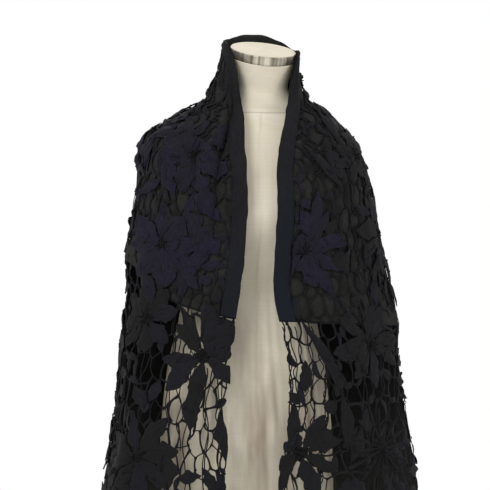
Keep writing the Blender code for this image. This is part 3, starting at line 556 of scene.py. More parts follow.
def linen_finish(name):
    """Natural linen, woven plain from uneven spun thread: warm, matte, with slubs, and with painted shade along the
    seams.

    Thread spacing is about 0.6 mm, too fine to show, so the weave is drawn at 2.4 mm. The colour falls
    by a quarter from the waist down to the hips: painted shade where the lower front lies in shadow, and
    some dirt. The chest is painted brighter and the neck a little darker, as painted light.
    """
    finish, shader = new_material(name)
    where = add(finish, "ShaderNodeUVMap", uv_map="cloth").outputs["UV"]
    weft = add(finish, "ShaderNodeMapping", {"Vector": where, "Scale": (60.0, 900.0, 1.0)})
    warp = add(finish, "ShaderNodeMapping", {"Vector": where, "Scale": (900.0, 45.0, 1.0)})
    slub = add(finish, "ShaderNodeTexNoise", {"Vector": weft.outputs["Vector"], "Scale": 0.45, "Detail": 3.0})
    thread = add(finish, "ShaderNodeTexNoise", {"Vector": warp.outputs["Vector"], "Scale": 0.45, "Detail": 3.0})
    woven = add(
        finish, "ShaderNodeMath", {0: slub.outputs["Fac"], 1: thread.outputs["Fac"]}, operation="ADD"
    )
    cloudy = add(finish, "ShaderNodeTexNoise", {"Vector": where, "Scale": 9.0, "Detail": 2.0})
    tones = add(finish, "ShaderNodeValToRGB", {"Fac": cloudy.outputs["Fac"]})
    tones.color_ramp.elements[0].position, tones.color_ramp.elements[0].color = 0.3, linear("#D3CAB5")
    tones.color_ramp.elements[1].position, tones.color_ramp.elements[1].color = 0.7, linear("#E0D8C6")
    grain = add(finish, "ShaderNodeMapRange", {"Value": woven.outputs[0], "From Min": 0.6, "From Max": 1.4})
    grain.inputs["To Min"].default_value, grain.inputs["To Max"].default_value = 0.93, 1.04
    speckled = add(
        finish, "ShaderNodeVectorMath", {0: tones.outputs["Color"]}, operation="SCALE"
    )
    join(finish, grain.outputs["Result"], speckled.inputs["Scale"])
    # Painted shade along the seams: the grooves are too shallow to show, so the colour darkens there.
    seam = add(finish, "ShaderNodeAttribute", attribute_name="tone").outputs["Fac"]
    seam_shaded_colour = add(
        finish, "ShaderNodeMix", {0: seam, 6: speckled.outputs["Vector"], 7: linear("#A0968A")}, data_type="RGBA"
    )
    place = add(finish, "ShaderNodeTexCoord").outputs["Object"]
    height = add(finish, "ShaderNodeSeparateXYZ", {0: place}).outputs["Z"]
    # Painted light and dirt by height: darker towards the hips (painted shade with some dirt), brighter over the
    # chest, a little darker at the neck.
    level = add(finish, "ShaderNodeMapRange", {"Value": height, "From Min": 0.72, "From Max": 1.45})
    painted_light_and_dirt = add(finish, "ShaderNodeValToRGB", {"Fac": level.outputs["Result"]})
    painted_light_and_dirt.color_ramp.elements[0].color = (0.74, 0.74, 0.74, 1.0)
    painted_light_and_dirt.color_ramp.elements[1].color = (0.95, 0.95, 0.95, 1.0)
    for position, grey in LINEN_PAINTED_LIGHT:
        painted_light_and_dirt.color_ramp.elements.new(position).color = (grey, grey, grey, 1.0)
    # Darker, browner blotches, stretched upright, below the waist.
    upright = add(finish, "ShaderNodeMapping", {"Vector": place, "Scale": (26.0, 26.0, 5.0)}).outputs["Vector"]
    cloud = add(finish, "ShaderNodeTexNoise", {"Vector": upright, "Scale": 1.0, "Detail": 3.0}).outputs["Fac"]
    blotch = add(finish, "ShaderNodeMapRange", {"Value": cloud, "From Min": 0.40, "From Max": 0.70})
    low_down = add(finish, "ShaderNodeMapRange", {"Value": height, "From Min": 1.12, "From Max": 0.86})
    low_down.inputs["To Max"].default_value = 0.85
    spread = {0: blotch.outputs["Result"], 1: low_down.outputs["Result"]}
    low_blotch_mask = add(finish, "ShaderNodeMath", spread, operation="MULTIPLY").outputs[0]
    blotched_colour = add(finish, "ShaderNodeMix", {0: low_blotch_mask, 6: seam_shaded_colour.outputs[2], 7: linear("#9C8C7A")}, data_type="RGBA")
    colour_with_painted_light = add(finish, "ShaderNodeVectorMath", {0: blotched_colour.outputs[2]}, operation="SCALE")
    join(finish, painted_light_and_dirt.outputs["Color"], colour_with_painted_light.inputs["Scale"])
    join(finish, colour_with_painted_light.outputs["Vector"], shader.inputs["Base Color"])
    shader.inputs["Roughness"].default_value = 0.92
    shader.inputs["Specular IOR Level"].default_value = 0.2
    bump = add(finish, "ShaderNodeBump", {"Height": woven.outputs[0], "Strength": 0.35, "Distance": 0.0006})
    join(finish, bump.outputs["Normal"], shader.inputs["Normal"])
    return finish


def tipped(section, tilt, roll):
    """A level section turned forward by its tilt and then down to the right by its roll, in degrees."""
    t, r = np.radians(tilt)[:, None], np.radians(roll)[:, None]
    x, y = section[..., 0], section[..., 1]
    forward, lifted = y * np.cos(t), y * np.sin(t)
    return np.stack([x * np.cos(r) + lifted * np.sin(r), forward, lifted * np.cos(r) - x * np.sin(r)], axis=-1)


def make_torso():
    row = np.linspace(0, len(TORSO_MM) - 1, TORSO_ROWS)
    size = {name: smooth(values, row) for name, values in columns_of(TORSO_COLUMNS, TORSO_MM).items()}
    turn = np.linspace(0, 2 * math.pi, TORSO_SIDES, endpoint=False)[None, :]
    x, y = oval(turn, *(size[name][:, None] * MM for name in ("half_width", "front", "back")), TORSO_ROUNDNESS)
    under_cloth = eased((row - SHOULDER_ROWS[0]) / 0.8) * eased((SHOULDER_ROWS[1] - row) / 0.8)
    inward = 1 - under_cloth[:, None] * SHOULDER_EASE / np.hypot(x, y)
    height = size["z"] * MM
    drag = 1.5 * MM * np.sin(turn * 47 + 2.5 * np.sin(height[:, None] * 9)) * np.cos(turn * 5 + 0.4)
    drag = drag * np.exp(-(((height[:, None] - 0.88) / 0.17) ** 2)) * (np.cos(turn) < 0)
    seam_row = NECK_SEAM_ROW + 0.40 * np.sin(turn) ** 2
    neck_seam = np.exp(-(((row[:, None] - seam_row) / 0.060) ** 2))
    aside = SEAM_ASIDE * eased((height[:, None] - 0.95) / 0.35)
    front_seam = np.exp(-(((x - aside) / SEAM_HALF_WIDTH) ** 2)) * (row[:, None] < NECK_SEAM_ROW) * (np.cos(turn) < 0)
    seam = np.maximum(0.7 * neck_seam, 0.3 * front_seam)
    out = inward + (drag - seam * SEAM_DEPTH) / np.hypot(x, y)
    section = tipped(np.stack([x * out, y * out], axis=-1), size["tilt"], size["roll"])
    centre = np.stack([size["centre_x"] * MM, size["centre_y"] * MM, height], axis=-1)
    points = section + centre[:, None]
    girth = np.hypot(x, y).mean(axis=1, keepdims=True)
    uv = np.stack([turn * girth, height[:, None] * np.ones_like(turn)], axis=-1)
    faces = [face[::-1] for face in grid_faces(TORSO_ROWS, TORSO_SIDES, around_it=True)]
    count = TORSO_ROWS * TORSO_SIDES
    faces += [list(range(TORSO_SIDES))[::-1], list(range(count - TORSO_SIDES, count))]
    return make_mesh("form_cover", points, faces, [linen_finish("plain-woven natural linen")], uv, tone=seam)


torso = make_torso()
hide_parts("form_torso")
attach(torso, "root")
print("form faces:", len(torso.data.polygons))

# %% [markdown]
# ## Neck ring, cap, pole and base
# The neck ends in a band of brushed steel with a linen-covered cap inside it. The photograph ends
# above the stand, so a plain pole and a round plate carry the form. All four are turned pieces: a
# profile swept round an axis, whose points are the profile's radius times cosine and sine.

# %% Turned steel and linen
BASE_RADIUS = 0.170
BASE_THICKNESS = 0.012
BASE_EDGE_RADIUS = 0.004
SOCKET_RADIUS = 0.022
SOCKET_TOP = 0.042
POLE_RADIUS = 0.0125
NECK_RING_RADIUS = 0.0568
NECK_RING_WALL = 0.003
NECK_RING_HEIGHT = 0.015
NECK_CAP_RADIUS = 0.0531
NECK_CAP_RISE = 0.0015
FIT_GAP = 0.0003
TURN_STEPS = 128


def steel_finish(name, roughness, streaks, dark, light, metallic=1.0):
    """Stainless steel brushed round its axis: bright streaks that run along it, on grey metal.

    The neck ring is a little less metallic than bare steel, and its warm dark and pale streaks are painted reflections
    of the linen and the lamps round it.
    """
    finish, shader = new_material(name)
    where = add(finish, "ShaderNodeUVMap", uv_map="cloth").outputs["UV"]
    stretched = add(finish, "ShaderNodeMapping", {"Vector": where, "Scale": (streaks, 1.5, 1.0)})
    streak = add(finish, "ShaderNodeTexNoise", {"Vector": stretched.outputs["Vector"], "Scale": 1.0, "Detail": 4.0})
    tones = add(finish, "ShaderNodeValToRGB", {"Fac": streak.outputs["Fac"]})
    tones.color_ramp.elements[0].position, tones.color_ramp.elements[0].color = 0.41, linear(dark)
    tones.color_ramp.elements[1].position, tones.color_ramp.elements[1].color = 0.60, linear(light)
    join(finish, tones.outputs["Color"], shader.inputs["Base Color"])
    shader.inputs["Metallic"].default_value = metallic
    shader.inputs["Roughness"].default_value = roughness
    shader.inputs["Anisotropic"].default_value = 0.5
    fine = add(finish, "ShaderNodeMapping", {"Vector": where, "Scale": (40.0, 2500.0, 1.0)})
    brush = add(finish, "ShaderNodeTexNoise", {"Vector": fine.outputs["Vector"], "Scale": 1.0})
    bump = add(finish, "ShaderNodeBump", {"Height": brush.outputs["Fac"], "Strength": 0.15, "Distance": 0.0002})
    join(finish, bump.outputs["Normal"], shader.inputs["Normal"])
    return finish


def arc(centre_x, centre_z, radius, start, end, count):
    angles = np.radians(np.linspace(start, end, count))
    return [(centre_x + radius * math.cos(a), centre_z + radius * math.sin(a)) for a in angles]


def turned(name, profile, finish, closed=False, tilt=0.0, roll=0.0, seat=(0, 0, 0)):
    """A profile (radius, height), read from its top, swept about Z, then tipped and set on its seat."""
    profile = np.array(profile + profile[:1] if closed else profile, float)
    turn = np.linspace(0, 2 * math.pi, TURN_STEPS, endpoint=False)
    x = profile[:, :1] * np.cos(turn)
    y = profile[:, :1] * np.sin(turn)
    points = np.stack([x, y, profile[:, 1:] * np.ones_like(x)], axis=-1)
    matrix = np.array(Euler((math.radians(tilt), math.radians(roll), 0.0)).to_matrix())
    points = points @ matrix.T + np.array(seat)
    step = np.linalg.norm(np.diff(profile, axis=0), axis=1)
    along = np.concatenate([[0], np.cumsum(step)])[:, None]
    uv = np.stack([turn * profile[:, 0].max() * np.ones_like(x), along * np.ones_like(x)], axis=-1)
    made = make_mesh(name, points, grid_faces(len(profile), TURN_STEPS, around_it=True), [finish], uv)
    weld = made.modifiers.new("close the poles and the seam", "WELD")
    weld.merge_threshold = 0.00001
    made.data.set_sharp_from_angle(angle=math.radians(40))
    return made


base_edge = BASE_RADIUS - BASE_EDGE_RADIUS
base_profile = [(0.0, SOCKET_TOP - 0.030), (POLE_RADIUS + FIT_GAP, SOCKET_TOP - 0.030)]
base_profile += [(POLE_RADIUS + FIT_GAP, SOCKET_TOP - 0.001), (POLE_RADIUS + 0.0015, SOCKET_TOP)]
base_profile += arc(SOCKET_RADIUS - 0.002, SOCKET_TOP - 0.002, 0.002, 90, 0, 6)
base_profile += arc(SOCKET_RADIUS + 0.004, BASE_THICKNESS + 0.004, 0.004, 180, 270, 7)
base_profile += arc(base_edge, BASE_THICKNESS - BASE_EDGE_RADIUS, BASE_EDGE_RADIUS, 90, 0, 9)
base_profile += [(BASE_RADIUS, 0.001), (BASE_RADIUS - 0.001, 0.0), (0.0, 0.0)]
pole_profile = [(0.0, 0.6797), (POLE_RADIUS, 0.6797), (POLE_RADIUS, 0.40), (POLE_RADIUS, 0.012), (0.0, 0.012)]
inner = NECK_RING_RADIUS - NECK_RING_WALL
ring_profile = [(inner, 0.0), (inner, NECK_RING_HEIGHT - 0.0012)]
ring_profile += arc(inner + 0.0012, NECK_RING_HEIGHT - 0.0012, 0.0012, 170, 90, 5)
ring_profile += arc(NECK_RING_RADIUS - 0.0012, NECK_RING_HEIGHT - 0.0012, 0.0012, 90, 0, 6)
ring_profile += [(NECK_RING_RADIUS, 0.0008), (NECK_RING_RADIUS - 0.0006, 0.0)]
crown = np.linspace(0, 1, 12)
cap_reach = NECK_RING_RADIUS - 0.0009
cap_profile = [(cap_reach * c, NECK_RING_HEIGHT + 0.0003 + NECK_CAP_RISE * (1 - c**6)) for c in crown]
cap_profile += [(cap_reach, NECK_RING_HEIGHT + 0.0001), (NECK_CAP_RADIUS - 0.0004, NECK_RING_HEIGHT + 0.0001)]
cap_profile += [(NECK_CAP_RADIUS - 0.0004, 0.0), (0.0, 0.0)]

top = dict(zip(TORSO_COLUMNS, TORSO_MM[-1]))
lean = Euler((math.radians(top["tilt"]), math.radians(top["roll"]), 0.0)).to_matrix()
neck_seat = Vector((0.0, top["centre_y"], top["z"])) * MM + lean @ Vector((0, 0, FIT_GAP))
stand_steel = steel_finish("satin stainless steel", 0.34, 30.0, "#A9A9AB", "#C4C4C5")
# The neck ring's streaks are painted reflections: warm dark for the linen round it, pale for the lamps.
ring_steel_painted_reflections = steel_finish("brushed stainless steel with painted reflections", 0.36, 70.0, "#736B5C", "#D8D1C1", 0.78)
linen_cap = linen_finish("plain-woven linen over the cap")
TURNED_PIECES = (
    ("base_plate", base_profile, stand_steel, False, 0, 0, (0, 0, 0), "stand_base", "steel"),
    ("pole", pole_profile, stand_steel, False, 0, 0, (0, 0, 0), "stand_pole", "steel"),
    ("neck_ring", ring_profile, ring_steel_painted_reflections, True, top["tilt"], top["roll"], neck_seat, "form_neck_ring", "steel"),
    ("neck_cap", cap_profile, linen_cap, False, top["tilt"], top["roll"], neck_seat, "form_neck_cap", "linen"),
)
for name, profile, finish, closed, tilt, roll, seat, node, slot in TURNED_PIECES:
    piece = turned(name, profile, finish, closed, tilt, roll, seat)
    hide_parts(node)
    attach(piece, "root")
print("turned pieces:", [row[0] for row in TURNED_PIECES])

# %% [markdown]
# ## Chiffon lining
# Behind the lace lies charcoal crepe chiffon: a thin, dull cloth of hard-twisted yarn, whose fine
# crinkle scatters light. It is one sheet from the neck to the hem, cut short at both fronts. Its
# grid runs from the neck edge, round the front corners, to the lower edge, so both edges are
# true lines and no face is cut.

# %% Chiffon finish
BAND_WIDTH = 0.027
NECK_CORNER_RADIUS = 0.045
LINING_BOTTOM = 0.655
LINING_OFFSET = 0.0006
LINING_THICKNESS = 0.0006
LINING_ROWS = 132
CORNER_CURL = 0.0065
FRONT_COLUMNS, SIDE_COLUMNS, BACK_COLUMNS = 38, 14, 104


def chiffon_finish(name, dark, light, crinkle_mm, strength, painted_highlight_tint=None):
    """Crepe chiffon: matt, with a crinkle drawn about three times coarser than the real 1 mm.

    The band is painted bluer low down and on the right, a painted highlight where it catches the light.
    """
    finish, shader = new_material(name)
    where = add(finish, "ShaderNodeUVMap", uv_map="cloth").outputs["UV"]
    longer = add(finish, "ShaderNodeMapping", {"Vector": where, "Scale": (1.0, 0.45, 1.0)}).outputs["Vector"]
    fine = {"Vector": longer, "Scale": 1 / (crinkle_mm * MM), "Detail": 4.0, "Roughness": 0.6}
    crinkle = add(finish, "ShaderNodeTexNoise", fine).outputs["Fac"]
    cloudy = add(finish, "ShaderNodeTexNoise", {"Vector": longer, "Scale": 24.0, "Detail": 3.0}).outputs["Fac"]
    both = add(finish, "ShaderNodeMath", {0: crinkle, 1: cloudy}, operation="ADD").outputs[0]
    shade = add(finish, "ShaderNodeMapRange", {"Value": both, "From Min": 0.75, "From Max": 1.25})
    tones = add(finish, "ShaderNodeValToRGB", {"Fac": shade.outputs["Result"]})
    tones.color_ramp.elements[0].color = linear(dark)
    tones.color_ramp.elements[1].color = linear(light)
    colour = tones.outputs["Color"]
    # Painted highlight: a bluer colour low down and towards the right of the band.
    if painted_highlight_tint:
        place = add(finish, "ShaderNodeTexCoord").outputs["Object"]
        axes = add(finish, "ShaderNodeSeparateXYZ", {0: place}).outputs
        low = add(finish, "ShaderNodeMapRange", {"Value": axes["Z"], "From Min": 1.40, "From Max": 1.05})
        right = add(finish, "ShaderNodeMapRange", {"Value": axes["X"], "From Min": -0.05, "From Max": 0.03})
        right.inputs["To Min"].default_value = 0.35
        both_ways = {0: low.outputs["Result"], 1: right.outputs["Result"]}
        share = add(finish, "ShaderNodeMath", both_ways, operation="MULTIPLY").outputs[0]
        mixed = {0: share, 6: colour, 7: linear(painted_highlight_tint)}
        colour = add(finish, "ShaderNodeMix", mixed, data_type="RGBA").outputs[2]
    join(finish, colour, shader.inputs["Base Color"])
    shader.inputs["Roughness"].default_value = 0.9
    shader.inputs["Specular IOR Level"].default_value = 0.1
    shader.inputs["Sheen Weight"].default_value = 0.02
    shader.inputs["Sheen Roughness"].default_value = 0.5
    bump = add(finish, "ShaderNodeBump", {"Height": crinkle, "Strength": strength, "Distance": 0.0012})
    join(finish, bump.outputs["Normal"], shader.inputs["Normal"])
    return finish


def edge_path(cloth, edge, counts):
    """Flat points along one lining edge, from the front to its outer corner and down the side."""
    corners = [(share, down_at(cloth, share, z)) for share, z in edge[:-1]] + [(edge[-1][0], cloth.fall)]
    corners = np.array(corners)
    front = corners[: OUTER_CORNER + 1]
    steps = np.linspace(0, 1, counts[0])
    length = np.concatenate([[0], np.cumsum(np.abs(np.diff(front[:, 0])))])
    front_path = [np.interp(steps * length[-1], length, front[:, axis]) for axis in (0, 1)]
    side = corners[OUTER_CORNER:]
    down = np.linspace(side[0, 1], down_at(cloth, 0.5, LINING_BOTTOM), counts[1] + 1)[1:]
    side_path = [np.interp(down, side[:, 1], side[:, 0]), down]
    return np.concatenate([np.stack(front_path, axis=1), np.stack(side_path, axis=1)])


def neck_down(cloth, share):
    """How far down the rounded neck corner starts: radius minus the root of the circle's equation."""
    width = float(width_at(cloth, 0.0))
    from_edge = np.minimum(share, 1 - share) * width
    inside = np.clip(NECK_CORNER_RADIUS - from_edge, 0, NECK_CORNER_RADIUS)
    return NECK_CORNER_RADIUS - np.sqrt(NECK_CORNER_RADIUS**2 - inside**2)


def make_lining(cloth):
    left = edge_path(cloth, LEFT_LINING_EDGE, (FRONT_COLUMNS, SIDE_COLUMNS))
    right = edge_path(cloth, RIGHT_LINING_EDGE, (FRONT_COLUMNS, SIDE_COLUMNS))[::-1]
    hem_share = np.linspace(left[-1, 0], right[0, 0], BACK_COLUMNS)[1:-1]
    hem = np.stack([hem_share, np.full(len(hem_share), left[-1, 1])], axis=1)
    lower = np.concatenate([left, hem, right])
    upper_down = neck_down(cloth, lower[:, 0])
    part = np.linspace(0, 1, LINING_ROWS)[:, None]
    down = upper_down + (lower[:, 1] - upper_down) * part
    share = np.ones_like(part) * lower[:, 0]
    flat = np.stack([(share - 0.5) * width_at(cloth, down), down], axis=-1)
    height = np.full(down.shape, LINING_OFFSET)
    for corner in (LEFT_LINING_EDGE[OUTER_CORNER], RIGHT_LINING_EDGE[OUTER_CORNER]):
        across, fall = (share - corner[0]) * width_at(cloth, down), down - down_at(cloth, *corner)
        height = height + CORNER_CURL * np.exp(-((across / 0.022) ** 2) - (fall / 0.022) ** 2)
    points = laid(cloth, flat, height)
    finish = chiffon_finish("charcoal crepe chiffon", "#1A1A19", "#2A2A29", 3.0, 0.7)
    made = make_mesh("chiffon_lining", points, grid_faces(*down.shape), [finish], flat)
    wall = made.modifiers.new("cloth thickness", "SOLIDIFY")
    wall.thickness = LINING_THICKNESS
    wall.offset = 1.0
    return made, lower


lining, lining_edge = make_lining(shawl_cloth)
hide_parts("lining_left", "lining_back", "lining_right")
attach(lining, "root")
print("lining faces:", len(lining.data.polygons))

# %% [markdown]
# ## Neck band
# A plain strip of the same chiffon, 27 mm wide, binds the neck and both front edges. It is folded
# over, so it is thicker than the lining and its edges are round. The strip is a grid between two
# paths, the outer edge and the inner one, and a flat arch across it gives the fold.

# %% Band
BAND_OFFSET = 0.0022
BAND_CROWN = 0.0016
BAND_THICKNESS = 0.0011
BAND_ACROSS = 13
BAND_SIDE_STEPS, BAND_CORNER_STEPS, BAND_NECK_STEPS = 130, 10, 48


def neckline(cloth, inset):
    """Flat points up the left front edge, round behind the neck and down the right front edge."""

    def side(sign, edge):
        share = edge[0][0]
        slope_share, slope_z = edge[1]
        start, after = down_at(cloth, share, edge[0][1]), down_at(cloth, slope_share, slope_z)
        reach = abs(slope_share - share) * float(width_at(cloth, start))
        end = start + (after - start) * inset / reach
        down = np.linspace(end, NECK_CORNER_RADIUS, BAND_SIDE_STEPS)
        radius = NECK_CORNER_RADIUS - inset
        angles = np.radians(np.linspace(180, 90, BAND_CORNER_STEPS))
        across = np.concatenate([np.full(BAND_SIDE_STEPS, inset), NECK_CORNER_RADIUS + radius * np.cos(angles[1:])])
        down = np.concatenate([down, NECK_CORNER_RADIUS - radius * np.sin(angles[1:])])
        return np.stack([sign * (width_at(cloth, down) / 2 - across), down], axis=1)

    left, right = side(-1, LEFT_LINING_EDGE), side(1, RIGHT_LINING_EDGE)[::-1]
    part = np.linspace(0, 1, BAND_NECK_STEPS)[1:-1, None]
    return np.concatenate([left, left[-1] + (right[0] - left[-1]) * part, right])


def make_band(cloth):
    outer, inner_edge = neckline(cloth, 0.0), neckline(cloth, BAND_WIDTH)
    part = np.linspace(0, 1, BAND_ACROSS)
    flat = outer[:, None] + (inner_edge - outer)[:, None] * part[None, :, None]
    middle = laid(cloth, flat[:, BAND_ACROSS // 2], BAND_OFFSET)
    length = np.concatenate([[0], np.cumsum(np.linalg.norm(np.diff(middle, axis=0), axis=1))])[:, None]
    wander = np.sin(length / 0.034 + 1.0) + 0.8 * np.sin(length / 0.013) + 0.6 * np.sin(length / 0.0071 + 2.0)
    calm = eased((length - 0.02) / 0.05) * eased((length[-1, 0] - 0.02 - length) / 0.05)
    toward = (outer - inner_edge) / np.linalg.norm(outer - inner_edge, axis=1, keepdims=True)
    flat = flat + toward[:, None] * (0.0011 * wander * calm * (1 - part))[:, :, None]
    arch = 1 - np.abs(2 * part - 1) ** 5
    wrinkle = np.sin(part * 15 + 1.5 * np.sin(length / 0.05)) * np.sin(length / 0.031 + 2 * part)
    wrinkle += 0.7 * np.sin(part * 9 + 2.0 * np.sin(length / 0.11))
    pucker = np.sin(length / 0.0042 + 1.5 * np.sin(length / 0.023)) * part**3
    height = BAND_OFFSET + BAND_CROWN * arch + MM * (0.75 * wrinkle * arch + 0.35 * pucker)
    uv = np.stack([np.ones_like(length) * part * BAND_WIDTH, length * np.ones_like(part)], axis=-1)
    finish = chiffon_finish("dark blue crepe chiffon", "#131314", "#1F1F21", 3.0, 0.8, "#151821")
    faces = [face[::-1] for face in grid_faces(*flat.shape[:2])]
    made = make_mesh("neck_band", laid(cloth, flat, height), faces, [finish], uv)
    wall = made.modifiers.new("folded cloth", "SOLIDIFY")
    wall.thickness = BAND_THICKNESS
    wall.offset = -1.0
    return made, float(length[-1, 0])


band, band_length = make_band(shawl_cloth)
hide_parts("band_left", "band_back", "band_right")
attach(band, "root")
print("band is", round(band_length, 3), "m long")

# %% [markdown]
# ## The net
# The ground of the lace is a net of crocheted cords, whose cells are tall, uneven and mostly five-
# or six-sided. Such a net is what remains between points that each claim the space nearest to
# them. Staggered points are shaken a little, Blender's triangulation joins neighbours, and a cord
# runs between the centres of each two triangles that share a side.

# %% Cells of the net
CELL_ACROSS = 0.0200
CELL_DOWN = 0.0380
CELL_JITTER = 0.30
NET_SEED = 7
NET_WIDTH = 1.2
SEAM_GAP = 0.0005


def net_seeds(cloth):
    """Staggered, uneven points, one for each cell, as a share round and a distance down."""
    chance = np.random.default_rng(NET_SEED)
    seeds = []
    for row in range(-1, math.ceil(cloth.fall / CELL_DOWN) + 2):
        down = row * CELL_DOWN
        count = round(float(width_at(cloth, down)) / CELL_ACROSS)
        across = (np.arange(-1, count + 2) + 0.5 * (row % 2)) / count
        across = across + chance.uniform(-CELL_JITTER, CELL_JITTER, len(across)) / count
        drop = down + chance.uniform(-CELL_JITTER, CELL_JITTER, len(across)) * CELL_DOWN
        seeds.append(np.stack([across, drop], axis=1))
    return np.concatenate(seeds)


def net_edges(cloth):
    """Pairs of triangle centres that share a side, as two rows of (share, down), and their numbers."""
    stretch = np.array([NET_WIDTH * CELL_DOWN / CELL_ACROSS, 1.0])
    seeds = [tuple(point) for point in net_seeds(cloth) * stretch]
    points, _, triangles, _, _, _ = delaunay_2d_cdt(seeds, [], [], 0, 1e-7)
    points, corners = np.array([tuple(p) for p in points]), np.array(triangles)
    a, b, c = points[corners[:, 0]], points[corners[:, 1]], points[corners[:, 2]]
    b, c = b - a, c - a
    twice = 2 * (b[:, 0] * c[:, 1] - b[:, 1] * c[:, 0])
    bb, cc = (b**2).sum(axis=1), (c**2).sum(axis=1)
    turned_about = np.stack([c[:, 1] * bb - b[:, 1] * cc, b[:, 0] * cc - c[:, 0] * bb], axis=1)
    centres = (a + turned_about / twice[:, None]) / stretch
    sides = np.sort(np.concatenate([corners[:, [0, 1]], corners[:, [1, 2]], corners[:, [2, 0]]]), axis=1)
    owner = np.tile(np.arange(len(corners)), 3)
    order = np.lexsort((sides[:, 1], sides[:, 0]))
    sides, owner = sides[order], owner[order]
    shared = (sides[1:] == sides[:-1]).all(axis=1)
    pairs = np.stack([owner[:-1][shared], owner[1:][shared]], axis=1)
    return centres[pairs], pairs


net_ends, net_joints = net_edges(smooth_cloth)
print("cords in the net:", len(net_ends))

# %% [markdown]
# ## Outlines of the three lace pieces
# The lace over the lining stops at the band and reaches the hem. Two unlined ends hang in front.
# Each outline is a closed loop of flat points, and a cord belongs to the piece that holds most of
# it. Cords that cross an outline are shortened to it.

# %% Outlines


def lace_outlines(cloth):
    left = edge_path(cloth, LEFT_LINING_EDGE, (24, 24))
    right = edge_path(cloth, RIGHT_LINING_EDGE, (24, 24))
    left_flat = np.stack([(left[:, 0] - 0.5) * width_at(cloth, left[:, 1]), left[:, 1]], axis=1)
    right_flat = np.stack([(right[:, 0] - 0.5) * width_at(cloth, right[:, 1]), right[:, 1]], axis=1)
    top_edge = neckline(cloth, BAND_WIDTH + SEAM_GAP)[::3]
    past_band = np.abs(left_flat[:, 0] - left_flat[0, 0]) > BAND_WIDTH
    past_right = np.abs(right_flat[:, 0] - right_flat[0, 0]) > BAND_WIDTH
    hem_left, hem_right = left_flat[-1] * (1, 0) + (0, cloth.fall), right_flat[-1] * (1, 0) + (0, cloth.fall)
    yoke = [top_edge, right_flat[past_right], hem_right[None], hem_left[None], left_flat[past_band][::-1]]
    outlines = {"lace_yoke": np.concatenate(yoke)}
    for name, path, hem in (("lace_end_left", left_flat, hem_left), ("lace_end_right", right_flat, hem_right)):
        down = np.linspace(cloth.fall, path[0, 1], 30)
        front = np.stack([np.sign(path[0, 0]) * width_at(cloth, down) / 2, down], axis=1)
        outlines[name] = np.concatenate([path, hem[None], front[:-1]])
    return outlines


def enclosed(points, outline):
    """True where a line from the point to the right crosses the outline an odd number of times."""
    after = np.roll(outline, -1, axis=0)
    x, y = points[..., 0, None], points[..., 1, None]
    spans = (outline[:, 1] > y) != (after[:, 1] > y)
    rise = np.where(after[:, 1] == outline[:, 1], 1.0, after[:, 1] - outline[:, 1])
    crossing = outline[:, 0] + (y - outline[:, 1]) / rise * (after[:, 0] - outline[:, 0])
    return (spans & (x < crossing)).sum(axis=-1) % 2 == 1


outlines = lace_outlines(smooth_cloth)
print("lace pieces:", {name: len(loop) for name, loop in outlines.items()})

# %% [markdown]
# ## Flowers and leaves
# Flowers of eight long petals lie over the net, with spoked wheels, leaves and round buds between
# them. Each is dark chiffon over the cords, a little raised, and no two are alike. All of them
# are one kind of shape: a flat oval section carried along a short path, whose width follows a
# petal, a leaf or a disc. The sections of all petals are worked out together as one array.

# %% Flower places
FLOWER_COLUMNS = ("round", "down", "petals", "petal_length", "angle")
FLOWERS = (
    (0.100, 0.225, 8, 0.060, 30),
    (0.300, 0.205, 8, 0.062, 0),
    (0.500, 0.190, 8, 0.060, 12),
    (0.700, 0.205, 8, 0.062, 20),
    (0.830, 0.240, 8, 0.048, 5),
    (0.130, 0.395, 8, 0.062, 15),
    (0.300, 0.390, 8, 0.066, 20),
    (0.460, 0.375, 16, 0.062, 0),
    (0.625, 0.385, 8, 0.066, 8),
    (0.795, 0.390, 8, 0.064, 25),
    (0.958, 0.383, 8, 0.068, 10),
    (0.037, 0.580, 8, 0.072, 0),
    (0.135, 0.525, 8, 0.050, 12),
    (0.250, 0.570, 8, 0.066, 0),
    (0.390, 0.560, 8, 0.068, 28),
    (0.540, 0.565, 8, 0.066, 18),
    (0.690, 0.560, 8, 0.068, 0),
    (0.865, 0.565, 8, 0.062, 5),
    (0.120, 0.755, 8, 0.070, 12),
    (0.265, 0.745, 16, 0.062, 0),
    (0.410, 0.755, 8, 0.070, 5),
    (0.555, 0.745, 8, 0.068, 22),
    (0.710, 0.755, 8, 0.070, 15),
    (0.858, 0.745, 16, 0.062, 0),
    (0.979, 0.745, 8, 0.070, 20),
)
PETAL_WIDTH = 0.028
SPOKE_WIDTH = 0.0065
SPOKED_FROM = 12
FLOWER_DISC = 0.013
PETALS_START = 0.6
LEAF_LENGTH = 0.045
LEAF_WIDTH = 0.020
LEAF_DISTANCE = 0.102
LEAF_ANGLES = (38, 152, 262)
LEAF_SKEW = 0.5
LEAF_CLEARANCE = 0.090
BUD_RADII = (0.009, 0.014)
MOTIF_OFFSET = 0.0034
MOTIF_STEPS, MOTIF_SIDES = 15, 14
MOTIF_SEED = 11
